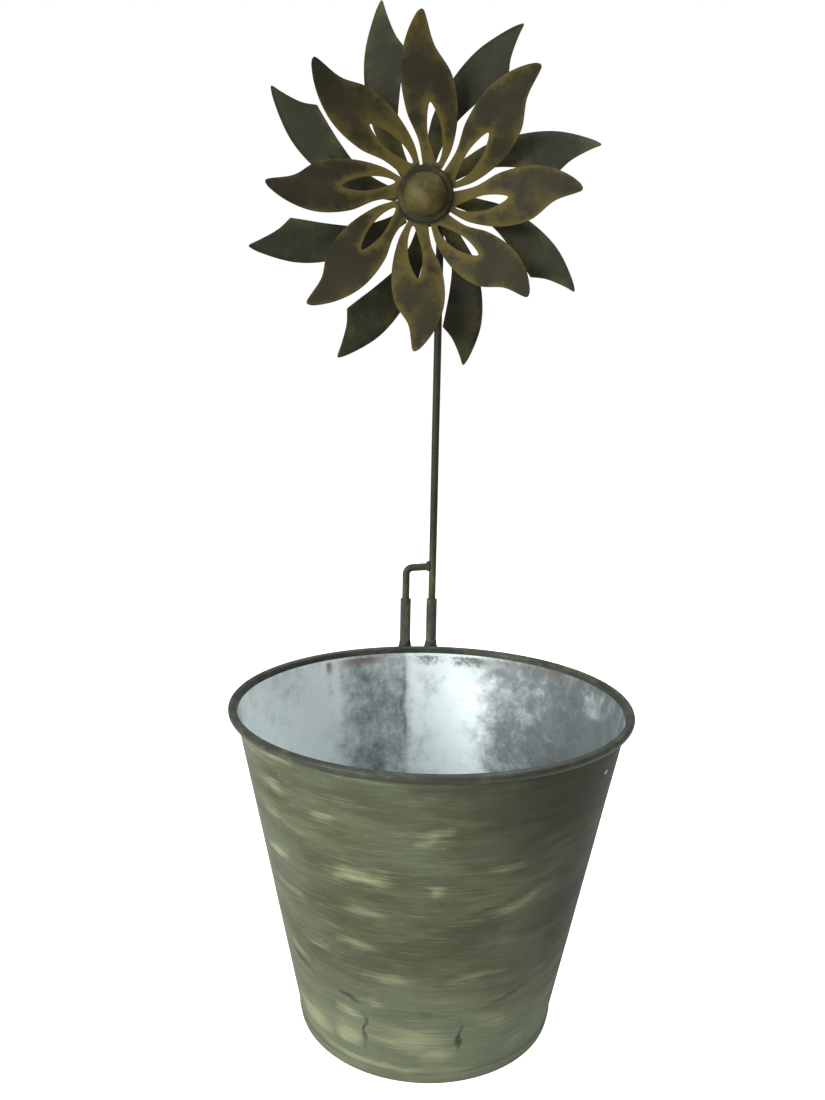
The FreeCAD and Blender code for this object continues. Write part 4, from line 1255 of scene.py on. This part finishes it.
def make_rear_wheel():
    bends = [(-0.1, 1.01, 0.4), (0.0, 1.01, -0.5), (0.7, 0.99, 0.2), (-1.1, 0.99, -0.3),
             (-0.5, 0.96, 0.6), (2.4, 1.02, -0.4), (2.4, 1.025, 0.3), (-2.2, 1.01, -0.2)]
    wheel = Wheel("rear", tip=107.5, width=28.5, rise=16.5, twist=-15, twist_line=0.45, phase=104.4, lean=27,
                  ripple_seed=3, bends=bends)
    full = wheel.line(REAR_FULL_SIDE + [TIP])
    neck = wheel.line(REAR_NECK_SIDE)
    shoulder = wheel.line(REAR_SHOULDER_SIDE + [TIP])
    outline = softened(full + shoulder[-2::-1] + neck[-2::-1], Vector((wheel.tip, 0)))
    make_petal_wheel(wheel, outline, None, full, REAR_PAINT, "rear_petal_paint")


def make_hub_dome():
    """The cap over the lock nut: a pressed dome with a small turned lip and a dent near its middle."""
    back = high("hub_cap").y
    radius = (high("hub_cap").x - low("hub_cap").x) / 2
    inner = radius - SHEET
    outside = [Vector((radius + 0.1 * MM, 0.0)), Vector((radius + 0.15 * MM, 0.3 * MM))]
    outside += arc((0.0, 0.0), radius, 4, 90, 40)
    outside[-1].x = 0.0
    inside = arc((0.0, 0.0), inner, 90, 0, 30)
    inside[0].x = 0.0
    dent_at = Vector((-1.0 * MM, 3.4 * MM))
    dent_radius = 2.0 * MM

    def shape(r, height, angle):
        spot = Vector((r * math.cos(angle), r * math.sin(angle)))
        dent = max(0.0, 1 - ((spot - dent_at).length / dent_radius) ** 2) ** 2 * 0.55 * MM
        if height < 3 * MM:
            dent = 0.0
        wave = 0.05 * MM * lumpy((spot.x, spot.y, height), 6 * MM, 8)
        return r + wave * (height > 1 * MM), height - dent

    piece = lathe("hub_dome", outside + inside, [CAP_PAINT], on_axle(back), 96, shape=shape, sharp=50)
    settle(piece, "front_wheel", "cap_paint", "hub_cap")


make_front_wheel()
make_rear_wheel()
make_hub_dome()


# ---- CAD nodes that stay, with better materials ----

def finish_node(name, material):
    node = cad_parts[name]
    node.data.materials.clear()
    node.data.materials.append(material)
    for polygon in node.data.polygons:
        polygon.material_index = 0


KEPT_NODES = (
    (("rear_washer", "middle_washer", "front_washer", "rim_wire"), FASTENER),
    (("rear_bush", "front_bush"), BUSH_METAL),
    (("rear_hub_plate", "front_hub_plate"), PLATE_PAINT),
)
for kept_names, kept_material in KEPT_NODES:
    for kept_name in kept_names:
        finish_node(kept_name, kept_material)


# ---- Floor and lights ----

FLOOR_RADIUS = 60.0
FLOOR_START = 0.3         # the first of the floor's rings, which grow by a constant factor
FLOOR_RINGS = 12


def make_floor():
    """A wide white floor that shows no horizon. It glows where it is seen directly, so that it stays white
    far from the lights, but the glow lights nothing."""
    g = Graph("floor", Specular_IOR_Level=0.0, Emission_Color=(1, 1, 1, 1))
    seen = g.add("ShaderNodeLightPath").outputs["Is Camera Ray"]
    g.shader_input("Emission Strength", g.math("MULTIPLY", seen, 0.82))
    speckle = g.noise(9, 3)
    colour = g.mix(g.ramp(speckle, 0.3, 0.7), rgb(242, 242, 242), rgb(246, 246, 246))
    material = g.finish(colour, g.ramp(speckle, 0.3, 0.7, 0.8, 0.9), speckle, 0.02 * MM)
    sides = 64
    verts = [(0.0, 0.0, 0.0)]
    growth = FLOOR_RADIUS / FLOOR_START
    radii = [FLOOR_START * growth ** (ring / (FLOOR_RINGS - 1)) for ring in range(FLOOR_RINGS)]
    for radius in radii:
        turns = [2 * math.pi * side / sides for side in range(sides)]
        verts += [(radius * math.cos(turn), radius * math.sin(turn), 0.0) for turn in turns]
    rings = [[0] * sides] + ring_rows(len(radii), sides, first=1)
    floor = new_piece("floor", verts, skin(rings), [material])


def area_light(name, place, aim, size, power):
    data = bpy.data.lights.new(name, "AREA")
    data.shape = "RECTANGLE"
    data.size = size
    data.size_y = size
    data.energy = power
    light = bpy.data.objects.new(name, data)
    light.location = place
    light.rotation_euler = (Vector(aim) - Vector(place)).to_track_quat("-Z", "Y").to_euler()
    scene.collection.objects.link(light)


def make_world():
    """White behind the object, and a dimmer room in what the metal reflects."""
    world = bpy.data.worlds.new("studio")
    world.use_nodes = True
    tree = world.node_tree
    tree.nodes.clear()
    output = tree.nodes.new("ShaderNodeOutputWorld")
    path = tree.nodes.new("ShaderNodeLightPath")
    choose = tree.nodes.new("ShaderNodeMixShader")
    tree.links.new(path.outputs["Is Camera Ray"], choose.inputs[0])
    looks = (((0.95, 0.98, 1.0, 1.0), 0.24), ((1.0, 1.0, 1.0, 1.0), 1.0))
    for (colour, strength), socket in zip(looks, choose.inputs[1:]):
        background = tree.nodes.new("ShaderNodeBackground")
        background.inputs["Color"].default_value = colour
        background.inputs["Strength"].default_value = strength
        tree.links.new(background.outputs[0], socket)
    tree.links.new(choose.outputs[0], output.inputs["Surface"])
    scene.world = world


make_floor()
make_world()
area_light("key", (-1.25, -1.15, 0.85), (0, 0, 0.2), 0.9, 36)
area_light("overhead", (0.4, 0.32, 1.7), (0, 0, 0.1), 1.5, 29)
scene.view_settings.view_transform = "Standard"
